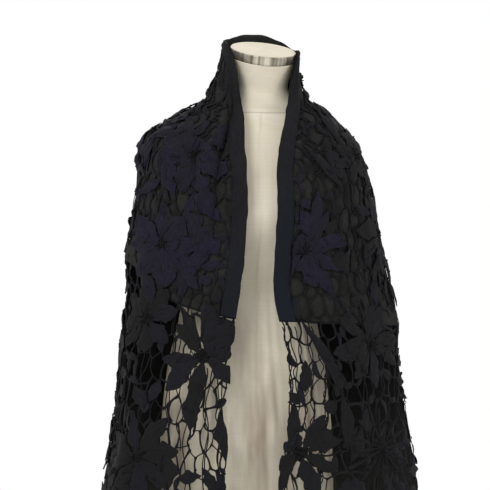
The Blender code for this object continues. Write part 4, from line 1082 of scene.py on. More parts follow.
PLACED_LEAVES = (
    (0.946, 0.585, 113, 150, 22, 0.15),
    (0.919, 0.694, 98, 110, 22, 0.10),
    (0.065, 0.533, 126, 100, 18, 0.10),
    (0.037, 0.533, 102, 100, 34, 0.30),
    (0.021, 0.533, 90, 100, 30, 0.20),
    (0.006, 0.549, 86, 66, 20, 0.10),
    (0.048, 0.673, 95, 66, 32, 0.10),
    (0.004, 0.715, 97, 84, 26, 0.10),
    (0.079, 0.777, 100, 66, 44, 0.10),
    (0.977, 0.616, 85, 56, 26, 0.10),
    (0.948, 0.725, 97, 44, 40, 0.10),
    (0.994, 0.699, 86, 78, 22, 0.10),
    (0.021, 0.787, 118, 50, 20, 0.10),
    (0.865, 0.176, 99, 150, 16, 0.15),
    (0.910, 0.243, 119, 130, 14, 0.25),
    (0.940, 0.316, 82, 94, 24, 0.80),
    (0.931, 0.440, 119, 110, 26, 0.80),
    (0.919, 0.378, 172, 80, 22, 0.80),
)
PATCH_REGIONS = (
    (0.050, 0.250, 0.150, 0.490, 30, 0.85),
    (0.040, 0.080, 0.300, 0.480, 5, 0.90),
    (0.770, 0.900, 0.200, 0.500, 10, 0.15),
    (0.935, 0.962, 0.300, 0.480, 5, 0.90),
    (0.110, 0.240, 0.520, 0.880, 14, 0.10),
    (0.790, 0.915, 0.540, 0.880, 12, 0.05),
)
PATCH_LENGTHS = (0.034, 0.072)
PATCH_WIDTHS = (0.016, 0.032)
Motifs = collections.namedtuple("Motifs", "round down angle start length width shape bend tone")
PETAL, LEAF, DISC, SPOKE = range(4)


def motif_places(cloth):
    """Every petal, spoke, leaf, disc and bud: its flower's centre, its direction, size and shape."""
    chance = np.random.default_rng(MOTIF_SEED)
    rows = []
    centres = np.array([(flower[0], flower[1]) for flower in FLOWERS])
    for round_share, down, petals, length, turn in FLOWERS:
        navy = 0.80 if (round_share < 0.2 or round_share > 0.93) and down < 0.5 else 0.10
        spoked = petals >= SPOKED_FROM
        for angle in math.radians(turn) + 2 * math.pi * np.arange(petals) / petals:
            size = length * chance.uniform(0.86, 1.14)
            spread = (1.15, 1.60) if round_share < 0.2 and down < 0.5 else (0.80, 1.25)
            width = SPOKE_WIDTH if spoked else PETAL_WIDTH * chance.uniform(*spread)
            start = FLOWER_DISC * PETALS_START
            tone = np.clip(navy + chance.uniform(-0.3, 0.3), 0, 1)
            lean = angle + (0 if spoked else chance.uniform(-0.12, 0.12))
            bend = chance.uniform(-0.25, 0.25) * (0.3 if spoked else 1.0)
            rows.append((round_share, down, lean, start, size, width, SPOKE if spoked else PETAL, bend, tone))
        disc = FLOWER_DISC * (0.9 if spoked else 1.05)
        rows.append((round_share, down, 0.0, -disc, 2 * disc, 2 * disc, DISC, 0.0, navy))
        for leaf_turn in LEAF_ANGLES:
            angle = math.radians(leaf_turn + turn)
            place = around(cloth, round_share, down, LEAF_DISTANCE * math.cos(angle), LEAF_DISTANCE * math.sin(angle))
            share = 0.5 + place[0] / float(width_at(cloth, place[1]))
            away = np.hypot((centres[:, 0] - share) * width_at(cloth, place[1]), centres[:, 1] - place[1])
            if away.min() < LEAF_CLEARANCE:
                continue
            size = LEAF_LENGTH * chance.uniform(0.85, 1.2)
            width = LEAF_WIDTH * chance.uniform(0.9, 1.3)
            tone = np.clip(navy + chance.uniform(-0.3, 0.3), 0, 1)
            rows.append((share, place[1], angle + LEAF_SKEW, -size / 2, size, width, LEAF, 0.1, tone))
            bud = chance.uniform(*BUD_RADII)
            drop = chance.uniform(0.026, 0.036)
            rows.append((share + 0.012, place[1] + drop, 0.0, -bud, 2 * bud, 2 * bud, DISC, 0.0, tone))
    for share, down, degrees, length, width, tone in PLACED_LEAVES:
        length, width = length * MM, width * MM
        rows.append((share, down, math.radians(degrees), -length / 2, length, width, LEAF, 0.12, tone))
    for left, right, top, bottom, count, tone in PATCH_REGIONS:
        for _ in range(count):
            share, down = chance.uniform(left, right), chance.uniform(top, bottom)
            length, width = chance.uniform(*PATCH_LENGTHS), chance.uniform(*PATCH_WIDTHS)
            angle = math.radians(90 + chance.uniform(-55, 55))
            shape = PETAL if chance.random() < 0.6 else LEAF
            own_tone = np.clip(tone + chance.uniform(-0.35, 0.25), 0, 1)
            bend = chance.uniform(-0.3, 0.3)
            rows.append((share, down, angle, -length / 2, length, width, shape, bend, own_tone))
    return Motifs(*np.array(rows).T)


motif = motif_places(smooth_cloth)
print("petals, leaves and buds:", len(motif.round))

# %% Motif paths and widths
EDGE_SOFTNESS = 0.009
TOP_LIMIT = 0.030


def motif_outline(motif):
    """Flat distances from each flower's centre along and across its own direction, and half widths.

    Petal: sin(pi t ** 1.15) ** 0.7, so widest past the middle and blunt. Leaf: 1 - |2 t - 1| ** 1.5.
    Disc: a circle's root. Spoke: narrow at the disc, widest near its tip.
    """
    t = np.linspace(0.0, 1.0, MOTIF_STEPS)[None, :]
    kinds = motif.shape[:, None]
    petal = np.sin(math.pi * np.clip(t, 0.02, 0.985) ** 1.15) ** 0.7
    leaf = 1 - np.abs(2 * t - 1) ** 1.5
    disc = np.sqrt(np.clip(1 - (2 * t - 1) ** 2, 0, 1))
    spoke = 0.45 + 0.75 * t * np.sqrt(np.clip(1 - t**4, 0, 1))
    share = np.select([kinds == PETAL, kinds == LEAF, kinds == DISC], [petal, leaf, disc], spoke)
    half_width = np.maximum(share, 0.04) * motif.width[:, None] / 2
    along = motif.start[:, None] + motif.length[:, None] * t
    across = motif.bend[:, None] * motif.length[:, None] * (t - t**2)
    return along, across, half_width, t


def held_back(value, limit):
    """Values under a limit: past limit - softness they close in on it as 1 - exp(-x) does."""
    past = np.maximum(value - (limit - EDGE_SOFTNESS), 0)
    return np.minimum(value, limit - EDGE_SOFTNESS) + EDGE_SOFTNESS * (1 - np.exp(-past / EDGE_SOFTNESS))


def edge_limit(cloth, flat):
    """Keeps motifs inside the band over the lining, and lets them pass the bare ends' edge by a little."""
    down = flat[..., 1]
    left_limit = np.where(down < down_at(cloth, 0.0, LEFT_LINING_EDGE[0][1]), BAND_WIDTH + SEAM_GAP, -0.007)
    right_limit = np.where(down < down_at(cloth, 1.0, RIGHT_LINING_EDGE[0][1]), BAND_WIDTH + SEAM_GAP, -0.007)
    half = width_at(cloth, down) / 2
    x = -held_back(-held_back(flat[..., 0], half - right_limit), half - left_limit)
    y = -held_back(-held_back(down, cloth.fall + 0.008), -TOP_LIMIT)
    return np.stack([x, y], axis=-1)


def shortened(cloth, motif):
    """Petals and leaves that would pass a front edge keep only the length that reaches it."""
    tip = motif.down + (motif.start + motif.length) * np.sin(motif.angle)
    half, x = width_at(cloth, tip) / 2, (motif.round - 0.5) * width_at(cloth, motif.down)
    toward = np.cos(motif.angle)
    lined_left = tip < down_at(cloth, 0.0, LEFT_LINING_EDGE[0][1])
    lined_right = tip < down_at(cloth, 1.0, RIGHT_LINING_EDGE[0][1])
    left = half - np.where(lined_left, BAND_WIDTH, -0.004) + x
    right = half - np.where(lined_right, BAND_WIDTH, -0.004) - x
    room = np.where(toward > 0, right, left) / np.maximum(np.abs(toward), 0.05) - motif.start
    kept = np.where(motif.shape == DISC, 1.0, np.clip(room / motif.length, 0.40, 1.0))
    return motif._replace(length=motif.length * kept, width=motif.width * (0.55 + 0.45 * kept))


def ragged(side_sign, t, chance, count):
    """A factor round 1 for each edge of a motif: three sines of t with their own phases on each side."""
    phase = chance.uniform(0, 6.3, (6, count, 1, 1))
    size = chance.uniform(0.06, 0.20, (2, count, 1, 1))
    left = size[0] * np.sin(7.5 * t + phase[0]) + 0.10 * np.sin(17 * t + phase[1]) + 0.06 * np.sin(31 * t + phase[4])
    right = size[1] * np.sin(8.5 * t + phase[2]) + 0.10 * np.sin(19 * t + phase[3]) + 0.06 * np.sin(29 * t + phase[5])
    return 1 + np.where(side_sign > 0, left, right)


def lay_motifs(cloth, motif, chance):
    """Each motif is a ring of points carried along it: across by cos, and up by sin, of the ring's angle."""
    along, across, half_width, t = motif_outline(motif)
    count = len(motif.round)
    ring = 2 * math.pi * np.arange(MOTIF_SIDES) / MOTIF_SIDES
    uneven = ragged(np.cos(ring) + 0 * half_width[:, :, None], t[:, :, None], chance, count)
    side = across[:, :, None] + half_width[:, :, None] * uneven * np.cos(ring)
    forward = along[:, :, None] * np.ones_like(side)
    cosine, sine = np.cos(motif.angle)[:, None, None], np.sin(motif.angle)[:, None, None]
    x, y = forward * cosine - side * sine, forward * sine + side * cosine
    down = motif.down[:, None, None] + y
    flat = np.stack([(motif.round[:, None, None] - 0.5) * width_at(cloth, down) + x, down], axis=-1)
    flat = edge_limit(cloth, flat)
    phase = chance.uniform(0, 6, (count, 1, 1))
    gather = np.sin(side / 0.0017 + phase) * np.sin(forward / 0.011 + phase)
    gather = gather + 0.8 * np.sin(side / 0.0041 + 2 * phase)
    dome = np.where(motif.shape == DISC, 1.2 * MM, 0.7 * MM)[:, None, None]
    thick = 0.45 * MM + dome * np.clip(half_width / 0.008, 0.25, 1.0)[:, :, None]
    upper = np.sin(ring) * thick + 0.50 * MM * gather * np.sin(ring)
    rise = np.where(np.sin(ring) > 0.01, upper, np.sin(ring) * 0.4 * MM)
    curl = np.abs(2.4 * MM * np.sin(phase) * (2 * t[:, :, None] - 1) ** 2)
    curl = curl + 0.9 * MM * (1 + np.sin(9 * t[:, :, None] + 4 * np.cos(ring) + 3 * phase))
    curl = curl * (motif.shape != DISC)[:, None, None]
    layer = chance.uniform(0, 1.3 * MM, (count, 1, 1))
    uv = np.stack([side, forward], axis=-1)
    return laid(cloth, flat, MOTIF_OFFSET + rise + curl + layer), uv, flat.mean(axis=(1, 2))


motif = shortened(smooth_cloth, motif)
motif_points, motif_uv, motif_middle = lay_motifs(shawl_cloth, motif, np.random.default_rng(MOTIF_SEED + 1))
print("motif points:", motif_points.shape)

# %% [markdown]
# ## Cords, strips and webs
# Between the flowers the ground changes from place to place. On the right of the chest it is an
# open net of thin cords; over the left of the chest and at the sides, the cells are filled until
# only narrow slits are left. So every side of a cell gets one of four forms: a thin cord, a thick
# cord, a strip that widens where it meets others, or a broad leaf-shaped fill. All are one kind of
# tube with an oval section, whose half width and half height change along it.

# %% How dense the ground is
CELL_SIDE_KINDS = ("thin", "thick", "strip", "fill")
DENSITY_REGIONS = (
    (0.00, 0.26, 0.00, 0.48, 0.80),
    (0.26, 0.74, 0.00, 0.92, 0.55),
    (0.74, 0.90, 0.00, 0.48, 0.58),
    (0.90, 1.00, 0.00, 0.48, 0.22),
    (0.00, 0.13, 0.48, 0.92, 0.22),
    (0.13, 0.26, 0.48, 0.92, 0.62),
    (0.74, 0.925, 0.48, 0.92, 0.62),
    (0.925, 1.0, 0.48, 0.92, 0.16),
)


def density_at(share, down):
    """The share of cell sides that are strips or fills, from the region that holds the place."""
    found = np.full(len(share), 0.5)
    for start, end, top, bottom, density in DENSITY_REGIONS:
        found = np.where((share >= start) & (share < end) & (down >= top) & (down < bottom), density, found)
    return found


print("ground regions:", len(DENSITY_REGIONS))

# %% Tubes along many paths
CORD_STEPS, CORD_SIDES = 6, 6
THIN_RADIUS, THICK_RADIUS = 0.0010, 0.0016
STRIP_HALF_WIDTHS = (0.0020, 0.0050)
FILL_HALF_WIDTHS = (0.0045, 0.0095)
STRIP_HALF_HEIGHT = 0.0006
CORD_OFFSET = 0.0021
CORD_LIFT = 0.0024
CORD_BOW = 0.11
TILT = 16.0
STEEPEST_TILT = 42.0
OVER_PETALS, OVER_PETALS_RISE = 0.60, 0.0040
CROSSING_SAMPLES = 17


def tubes(paths, normals, across, height, tilt=0.0, closed=False):
    """Ring point = path + across * cos * side + height * sin * up, for all paths and steps at once.

    A tilt in radians turns side and up about the path, so that one edge stands proud.
    """
    along = np.gradient(paths, axis=1)
    if closed:
        along = np.roll(paths, -1, axis=1) - np.roll(paths, 1, axis=1)
    side = np.cross(along, normals)
    side /= np.linalg.norm(side, axis=-1, keepdims=True) + 1e-12
    up = np.cross(side, along)
    up /= np.linalg.norm(up, axis=-1, keepdims=True) + 1e-12
    lean = np.asarray(tilt)[..., None]
    side, up = side * np.cos(lean) + up * np.sin(lean), up * np.cos(lean) - side * np.sin(lean)
    angle = 2 * math.pi * np.arange(CORD_SIDES) / CORD_SIDES
    cosine, sine = np.cos(angle)[:, None], np.sin(angle)[:, None]
    wide, tall = np.asarray(across)[..., None, None], np.asarray(height)[..., None, None]
    points = paths[:, :, None] + wide * cosine * side[:, :, None] + tall * sine * up[:, :, None]
    step = np.linalg.norm(np.diff(paths, axis=1), axis=2)
    length = np.concatenate([np.zeros((len(paths), 1)), np.cumsum(step, axis=1)], axis=1)
    uv = np.stack(np.broadcast_arrays(wide[..., 0] * cosine[:, 0], length[:, :, None]), axis=-1)
    return points, uv


def tube_faces(count, steps, sides, start, closed=False):
    """The side faces of many tubes, and a many-sided face at each end unless the tubes are loops."""
    one = np.array(grid_faces(steps, sides, around_it=True))[:, ::-1]
    if closed:
        last = (steps - 1) * sides + np.arange(sides)
        first = np.arange(sides)
        seam = np.stack([last, np.roll(last, -1), np.roll(first, -1), first], axis=1)
        one = np.concatenate([one, seam])
    shift = start + steps * sides * np.arange(count)
    faces = (shift[:, None, None] + one).reshape(-1, 4).tolist()
    if closed:
        return faces
    ring = np.arange(sides)
    first = (shift[:, None] + ring).tolist()
    last = (shift[:, None] + (steps - 1) * sides + ring[::-1]).tolist()
    return faces + first + last


def kept_stretch(ends, outline):
    """Each cord cut back to its stretch inside an outline, and which cords have one."""
    part = np.linspace(0, 1, CROSSING_SAMPLES)[:, None]
    samples = ends[:, :1] + (ends[:, 1:] - ends[:, :1]) * part
    inside = enclosed(samples, outline)
    first, last = inside.argmax(axis=1), CROSSING_SAMPLES - 1 - inside[:, ::-1].argmax(axis=1)
    rows = np.arange(len(ends))
    kept = inside.any(axis=1) & (last > first + 2)
    return np.stack([samples[rows, first], samples[rows, last]], axis=1)[kept], kept


def hidden_by_motifs(places):
    """True where a flat place lies well inside a petal, leaf or disc."""
    along = motif.length[None, :] / 2
    middle = motif.start + motif.length / 2
    centre_x = (motif.round - 0.5) * width_at(smooth_cloth, motif.down + middle * np.sin(motif.angle))
    centre_x = centre_x + middle * np.cos(motif.angle)
    centre_y = motif.down + middle * np.sin(motif.angle)
    x, y = places[:, :1] - centre_x, places[:, 1:] - centre_y
    forward = (x * np.cos(motif.angle) + y * np.sin(motif.angle)) / along
    side = (y * np.cos(motif.angle) - x * np.sin(motif.angle)) / (motif.width / 2)
    return (forward**2 + side**2 < 0.5).any(axis=1)


def cell_side_sizes(cloth, middle, length, chance):
    """Half widths and half heights along each side: strips are narrow in the middle, fills at the ends."""
    t = np.linspace(0, 1, CORD_STEPS)[None, :]
    count = len(middle)
    density = density_at(0.5 + middle[:, 0] / width_at(cloth, middle[:, 1]), middle[:, 1])
    pick = chance.random(count)
    kind = np.select([pick < 0.45 * density, pick < density, pick < density + 0.5 * (1 - density)], [3, 2, 1], 0)
    strip = chance.uniform(*STRIP_HALF_WIDTHS, count)[:, None] * (0.50 + 0.50 * (2 * t - 1) ** 2)
    fill = np.minimum(chance.uniform(*FILL_HALF_WIDTHS, count), 0.42 * length)[:, None]
    fill = fill * (0.35 + 0.65 * np.sin(math.pi * t) ** 0.8)
    spread = 1 + 0.9 * np.abs(2 * t - 1) ** 5
    thin, thick = THIN_RADIUS * spread * np.ones((count, 1)), THICK_RADIUS * spread * np.ones((count, 1))
    kinds = kind[:, None]
    across = np.select([kinds == 3, kinds == 2, kinds == 1], [fill, strip, thick], thin)
    height = np.select([kinds >= 2, kinds == 1], [STRIP_HALF_HEIGHT, THICK_RADIUS], THIN_RADIUS) * np.ones_like(t)
    return across, height, kind


def cords_in(cloth, outline, chance):
    """Bowed, slightly lifted tubes along the net's cords inside one outline."""
    flat_ends = np.stack([(net_ends[..., 0] - 0.5) * width_at(cloth, net_ends[..., 1]), net_ends[..., 1]], axis=-1)
    ends, kept = kept_stretch(flat_ends, outline)
    joints = net_joints[kept]
    covered = hidden_by_motifs(ends[:, 0]) & hidden_by_motifs(ends[:, 1]) & hidden_by_motifs(ends.mean(axis=1))
    shown = ~covered | (chance.random(len(ends)) < OVER_PETALS)
    ends, joints, covered = ends[shown], joints[shown], covered[shown]
    t = np.linspace(-0.03, 1.03, CORD_STEPS)[None, :, None]
    run = ends[:, 1] - ends[:, 0]
    beside = np.stack([-run[:, 1], run[:, 0]], axis=1)
    bow = chance.normal(0, CORD_BOW, len(ends))[:, None, None] * np.sin(math.pi * np.clip(t, 0, 1))
    flat = ends[:, :1] + run[:, None] * t + beside[:, None] * bow
    across, height, kind = cell_side_sizes(cloth, ends.mean(axis=1), np.linalg.norm(run, axis=1), chance)
    across = np.where(covered[:, None], np.minimum(across, THICK_RADIUS), across)
    kind = np.where(covered, 0, kind)
    tilt = np.radians(np.clip(chance.normal(0, TILT, len(ends)), -STEEPEST_TILT, STEEPEST_TILT))[:, None]
    tilt = np.where((kind >= 2)[:, None], tilt, 0.0) * np.sin(math.pi * np.clip(t[..., 0], 0, 1))
    joint_height = 0.0006 * np.modf(np.abs(np.sin(joints * 12.9898)) * 43758.5)[0]
    rest = joint_height[:, :1] * (1 - t[..., 0]) + joint_height[:, 1:] * t[..., 0]
    lift = CORD_LIFT * chance.random(len(ends)) ** 4
    offset = CORD_OFFSET + rest + lift[:, None] * np.sin(math.pi * np.clip(t[..., 0], 0, 1))
    offset = offset + across * np.abs(np.sin(tilt)) + OVER_PETALS_RISE * covered[:, None]
    paths = laid(cloth, flat, offset)
    normals = laid(cloth, flat, offset + 0.001) - paths
    return tubes(paths, normals, across, height, tilt), kind


# %% [markdown]
# ## Knots, picots and edges
# A crocheted flower has a cluster of small looped stitches at its heart. Tiny loops, called picots,
# also stand up from the cords everywhere, which makes the outline ragged, and they run along the
# edges. A loop is a closed tube, and all loops of a piece are made together.

# %% Small loops
LOOP_STEPS = 8
LOOP_RADIUS = 0.00065
KNOTS_PER_FLOWER = 14
KNOT_REACH = 0.010
KNOT_RISE = 0.0062
PICOT_RISE = 0.0022
PICOTS = {"lace_yoke": 330, "lace_end_left": 70, "lace_end_right": 60}
PICOT_RADII = (0.0014, 0.0034)


def loops(cloth, rise, centre, radius, standing, turn):
    """Closed rings: each point is centre + radius * (cos, sin), lying flat or standing up by its share."""
    angle = 2 * math.pi * np.arange(LOOP_STEPS) / LOOP_STEPS
    forward, second = radius[:, None] * np.cos(angle), radius[:, None] * np.sin(angle)
    lying = second * (1 - standing[:, None])
    x = forward * np.cos(turn)[:, None] - lying * np.sin(turn)[:, None]
    y = forward * np.sin(turn)[:, None] + lying * np.cos(turn)[:, None]
    flat = centre[:, None] + np.stack([x, y], axis=-1)
    offset = rise + standing[:, None] * (radius[:, None] + second)
    path = laid(cloth, flat, offset)
    middle = path.mean(axis=1, keepdims=True)
    axis = np.cross(np.roll(path, -1, axis=1) - path, path - middle).mean(axis=1, keepdims=True)
    size = np.full(path.shape[:2], LOOP_RADIUS)
    return tubes(path, np.broadcast_to(axis, path.shape) / (np.linalg.norm(axis) + 1e-12), size, size, closed=True)


def flower_knots(cloth, outline, chance):
    """Places, radii and lean of the loops at the hearts of the flowers inside one outline."""
    hearts = np.array([around(cloth, share, down, 0.0, 0.0) for share, down, *_ in FLOWERS])
    hearts = np.repeat(hearts[enclosed(hearts, outline)], KNOTS_PER_FLOWER, axis=0)
    reach = KNOT_REACH * np.sqrt(chance.random(len(hearts)))
    turn = chance.uniform(0, 2 * math.pi, len(hearts))
    centre = hearts + reach[:, None] * np.stack([np.cos(turn), np.sin(turn)], axis=1)
    return centre, chance.uniform(0.0022, 0.0036, len(hearts)), chance.uniform(0.1, 0.6, len(hearts)), turn


def picot_places(cloth, name, outline, chance):
    """Joints of the net inside one outline, picked at random."""
    joints = net_ends[:, 0]
    joints = np.stack([(joints[:, 0] - 0.5) * width_at(cloth, joints[:, 1]), joints[:, 1]], axis=1)
    joints = joints[enclosed(joints, outline)]
    centre = joints[chance.permutation(len(joints))[: PICOTS[name]]]
    count = len(centre)
    radius = chance.uniform(*PICOT_RADII, count)
    return centre, radius, chance.uniform(0.5, 1.0, count), chance.uniform(0, 2 * math.pi, count)


# %% Cords along the edges
EDGE_INSET = 0.0035
EDGE_WAVE = 0.0026
EDGE_STEP = 0.005
EDGE_RADIUS = 0.0012
PIPING_RADIUS = 0.0012


def edge_cord(cloth, flat, radius, wave, offset):
    """One long wavy tube beside an edge: its path moves in and out by a sine of its length."""
    step = np.linalg.norm(np.diff(flat, axis=0), axis=1)
    length = np.concatenate([[0], np.cumsum(step)])
    even = np.linspace(0, length[-1], max(8, int(length[-1] / EDGE_STEP)))
    path = np.stack([np.interp(even, length, flat[:, axis]) for axis in (0, 1)], axis=1)
    along = np.gradient(path, axis=0)
    beside = np.stack([-along[:, 1], along[:, 0]], axis=1) / np.linalg.norm(along, axis=1, keepdims=True)
    path = path + beside * (wave * np.sin(even / 0.009 + 2 * np.sin(even / 0.05)))[:, None]
    place = laid(cloth, path, np.full(len(path), offset))
    normals = laid(cloth, path, np.full(len(path), offset + 0.001)) - place
    size = np.full((1, len(path)), radius)
    return tubes(place[None], normals[None], size, size)


def edge_runs(cloth, name):
    """The flat runs that an edge cord follows on one lace piece."""
    if name == "lace_yoke":
        share = np.linspace(LEFT_LINING_EDGE[-1][0], RIGHT_LINING_EDGE[-1][0], 160)
        return [np.stack([(share - 0.5) * width_at(cloth, cloth.fall), np.full(160, cloth.fall - 0.001)], axis=1)]
    edge = LEFT_LINING_EDGE if name == "lace_end_left" else RIGHT_LINING_EDGE
    sign = -1 if name == "lace_end_left" else 1
    down = np.linspace(down_at(cloth, edge[0][0], edge[0][1]), cloth.fall - 0.001, 120)
    front = np.stack([sign * (width_at(cloth, down) / 2 - EDGE_INSET), down], axis=1)
    share = np.linspace(edge[0][0], edge[-1][0], 60)
    hem = np.stack([(share - 0.5) * width_at(cloth, cloth.fall), np.full(60, cloth.fall - 0.001)], axis=1)
    return [front, hem]


STRAND_RADIUS = 0.0010
STRAND_SWAY = 0.0045
STRANDS = {
    "lace_yoke": (
        (0.800, 0.394, 0.817, 0.497), (0.854, 0.362, 0.858, 0.476), (0.829, 0.362, 0.842, 0.497),
        (0.854, 0.280, 0.883, 0.394), (0.779, 0.414, 0.800, 0.518), (0.815, 0.300, 0.822, 0.460),
        (0.955, 0.120, 0.900, 0.330), (0.930, 0.100, 0.930, 0.300), (0.890, 0.120, 0.870, 0.360),
        (0.960, 0.280, 0.940, 0.460), (0.910, 0.300, 0.890, 0.470), (0.870, 0.110, 0.830, 0.300),
        (0.263, 0.104, 0.212, 0.207), (0.133, 0.114, 0.142, 0.228), (0.154, 0.135, 0.208, 0.249),
        (0.092, 0.114, 0.071, 0.238), (0.200, 0.249, 0.183, 0.404), (0.154, 0.249, 0.158, 0.414),
        (0.220, 0.020, 0.420, 0.014), (0.160, 0.030, 0.330, 0.024), (0.230, 0.034, 0.120, 0.016),
        (0.300, 0.040, 0.140, 0.045), (0.180, 0.060, 0.260, 0.090), (0.760, 0.030, 0.600, 0.016),
    ),
    "lace_end_left": (
        (0.002, 0.520, 0.010, 0.900), (0.012, 0.530, 0.004, 0.900), (0.022, 0.580, 0.030, 0.900),
        (0.030, 0.600, 0.018, 0.900), (0.050, 0.560, 0.055, 0.900), (0.066, 0.500, 0.040, 0.640),
        (0.075, 0.550, 0.060, 0.740), (0.090, 0.500, 0.070, 0.900), (0.130, 0.470, 0.120, 0.900),
    ),
    "lace_end_right": (
        (0.998, 0.530, 0.994, 0.900), (0.990, 0.530, 0.985, 0.900), (0.980, 0.530, 0.975, 0.720),
        (0.965, 0.530, 0.968, 0.900), (0.955, 0.530, 0.945, 0.700), (0.972, 0.600, 0.960, 0.800),
        (0.940, 0.600, 0.955, 0.900), (0.880, 0.530, 0.890, 0.900), (0.850, 0.530, 0.830, 0.900),
    ),
}


def strand(cloth, start_share, start_down, end_share, end_down):
    """A loose cord between two places, which sways across its line by a sine of its length."""
    part = np.linspace(0, 1, 40)
    share, down = start_share + (end_share - start_share) * part, start_down + (end_down - start_down) * part
    flat = np.stack([(share - 0.5) * width_at(cloth, down), down], axis=1)
    run = (flat[-1] - flat[0]) / np.linalg.norm(flat[-1] - flat[0])
    swing = np.sin(math.pi * part) * np.sin(17 * part * (1 + start_share) + 40 * start_share)
    return flat + (STRAND_SWAY * swing)[:, None] * np.array([-run[1], run[0]])


def flat_of(cloth, path):
    """A path of shares and distances down, as flat points."""
    return np.stack([(path[:, 0] - 0.5) * width_at(cloth, path[:, 1]), path[:, 1]], axis=1)


print("edge cords are", 2000 * EDGE_RADIUS, "mm thick")

# %% [markdown]
# ## Lace finishes
# The cords are tightly twisted black cotton, which keeps almost no light. The petals are navy
# and charcoal chiffon, gathered lengthwise. One material serves both colours of petal: each petal
# carries its own tone, and the tone picks a place between the two.

# %% Cotton cord and petal cloth


def cord_finish():
    """Mercerised cotton cord, twisted every 3 mm: near black, with a faint gleam on each turn."""
    finish, shader = new_material("twisted black cotton cord")
    where = add(finish, "ShaderNodeUVMap", uv_map="cloth").outputs["UV"]
    turned_uv = add(finish, "ShaderNodeMapping", {"Vector": where, "Scale": (2100.0, 2100.0, 1.0)})
    twist = add(finish, "ShaderNodeTexWave", {"Vector": turned_uv.outputs["Vector"], "Scale": 0.16, "Distortion": 1.5})
    tones = add(finish, "ShaderNodeValToRGB", {"Fac": twist.outputs["Fac"]})
    tones.color_ramp.elements[0].color = linear("#08080A")
    tones.color_ramp.elements[1].color = linear("#151517")
    join(finish, tones.outputs["Color"], shader.inputs["Base Color"])
    shader.inputs["Roughness"].default_value = 0.7
    shader.inputs["Specular IOR Level"].default_value = 0.15
    bump = add(finish, "ShaderNodeBump", {"Height": twist.outputs["Fac"], "Strength": 0.5, "Distance": 0.0004})
    join(finish, bump.outputs["Normal"], shader.inputs["Normal"])
    return finish


def petal_finish():
    """Gathered chiffon: fine pleats run along each petal, every 2 to 4 mm, drawn at true size."""
    finish, shader = new_material("gathered navy and charcoal chiffon")
    where = add(finish, "ShaderNodeUVMap", uv_map="cloth").outputs["UV"]
    pleated = add(finish, "ShaderNodeMapping", {"Vector": where, "Scale": (330.0, 90.0, 1.0)})
    pleat = add(finish, "ShaderNodeTexNoise", {"Vector": pleated.outputs["Vector"], "Scale": 1.0, "Detail": 4.0})
    tone = add(finish, "ShaderNodeAttribute", attribute_name="tone").outputs["Fac"]
    cloth_colour = add(
        finish, "ShaderNodeMix", {0: tone, 6: linear("#121212"), 7: linear("#171523")}, data_type="RGBA"
    )
    shade = add(finish, "ShaderNodeMapRange", {"Value": pleat.outputs["Fac"], "From Min": 0.3, "From Max": 0.7})
    shade.inputs["To Min"].default_value, shade.inputs["To Max"].default_value = 0.55, 1.40
    shaded = add(finish, "ShaderNodeVectorMath", {0: cloth_colour.outputs[2]}, operation="SCALE")
    join(finish, shade.outputs["Result"], shaded.inputs["Scale"])
    join(finish, shaded.outputs["Vector"], shader.inputs["Base Color"])
    shader.inputs["Roughness"].default_value = 0.85
    shader.inputs["Specular IOR Level"].default_value = 0.15
    shader.inputs["Sheen Weight"].default_value = 0.03
    bump = add(finish, "ShaderNodeBump", {"Height": pleat.outputs["Fac"], "Strength": 0.7, "Distance": 0.0014})
    join(finish, bump.outputs["Normal"], shader.inputs["Normal"])
    return finish


cotton, petal_cloth = cord_finish(), petal_finish()
print("lace finishes:", cotton.name, "and", petal_cloth.name)

# %% [markdown]
# ## Join each lace piece
# A maker works the cords and the flowers into one lace. The two bare ends are one mesh each, with
# two finishes. The lace over the lining is larger, so its net and its flowers are two meshes.

# %% Lace pieces
CORD_SLOT, CLOTH_SLOT = 0, 1


class Gathered:
    """Collects tubes for one mesh: points, faces, UVs, finishes and tones, numbered one after another."""

    def __init__(self):
        self.points, self.faces, self.slots, self.uvs, self.tones = [], [], [], [], []
        self.count = 0

    def take(self, tube, slot, tone=0.0, closed=False):
        points, uv = tube
        made, steps, sides = points.shape[:3]
        new = tube_faces(made, steps, sides, self.count, closed)
        each = np.broadcast_to(np.asarray(slot), made)
        per_side = len(new) // made if made else 0
        if closed or per_side == 0:
            self.slots.extend(np.repeat(each, per_side).tolist())
        else:
            walls = np.repeat(each, (steps - 1) * sides)
            self.slots.extend(np.concatenate([walls, each, each]).tolist())
        self.faces.extend(new)
        self.points.append(points.reshape(-1, 3))
        self.uvs.append(uv.reshape(-1, 2))
        self.tones.append((np.ones((made, steps, sides)) * np.asarray(tone).reshape(-1, 1, 1)).ravel())
        self.count += made * steps * sides

    def mesh(self, name):
        return make_mesh(
            name, np.concatenate(self.points), self.faces, [cotton, petal_cloth], np.concatenate(self.uvs),
            self.slots, np.concatenate(self.tones),
        )


def take_net(gathered, cloth, name, outline, chance):
    """The cords, strips and fills of the net, and the cord along its free edges."""
    tube, kind = cords_in(cloth, outline, chance)
    tone = np.where(kind >= 2, chance.uniform(0, 0.6, len(kind)), 0.0)
    gathered.take(tube, np.where(kind >= 2, CLOTH_SLOT, CORD_SLOT), tone)
    for run in edge_runs(cloth, name):
        gathered.take(edge_cord(cloth, run, EDGE_RADIUS, EDGE_WAVE, CORD_OFFSET + 0.0008), CORD_SLOT)
    for ends in STRANDS[name]:
        path = strand(cloth, *ends)
        gathered.take(edge_cord(cloth, path, STRAND_RADIUS, 0.0008, CORD_OFFSET + 0.0014), CORD_SLOT)
    return len(kind)


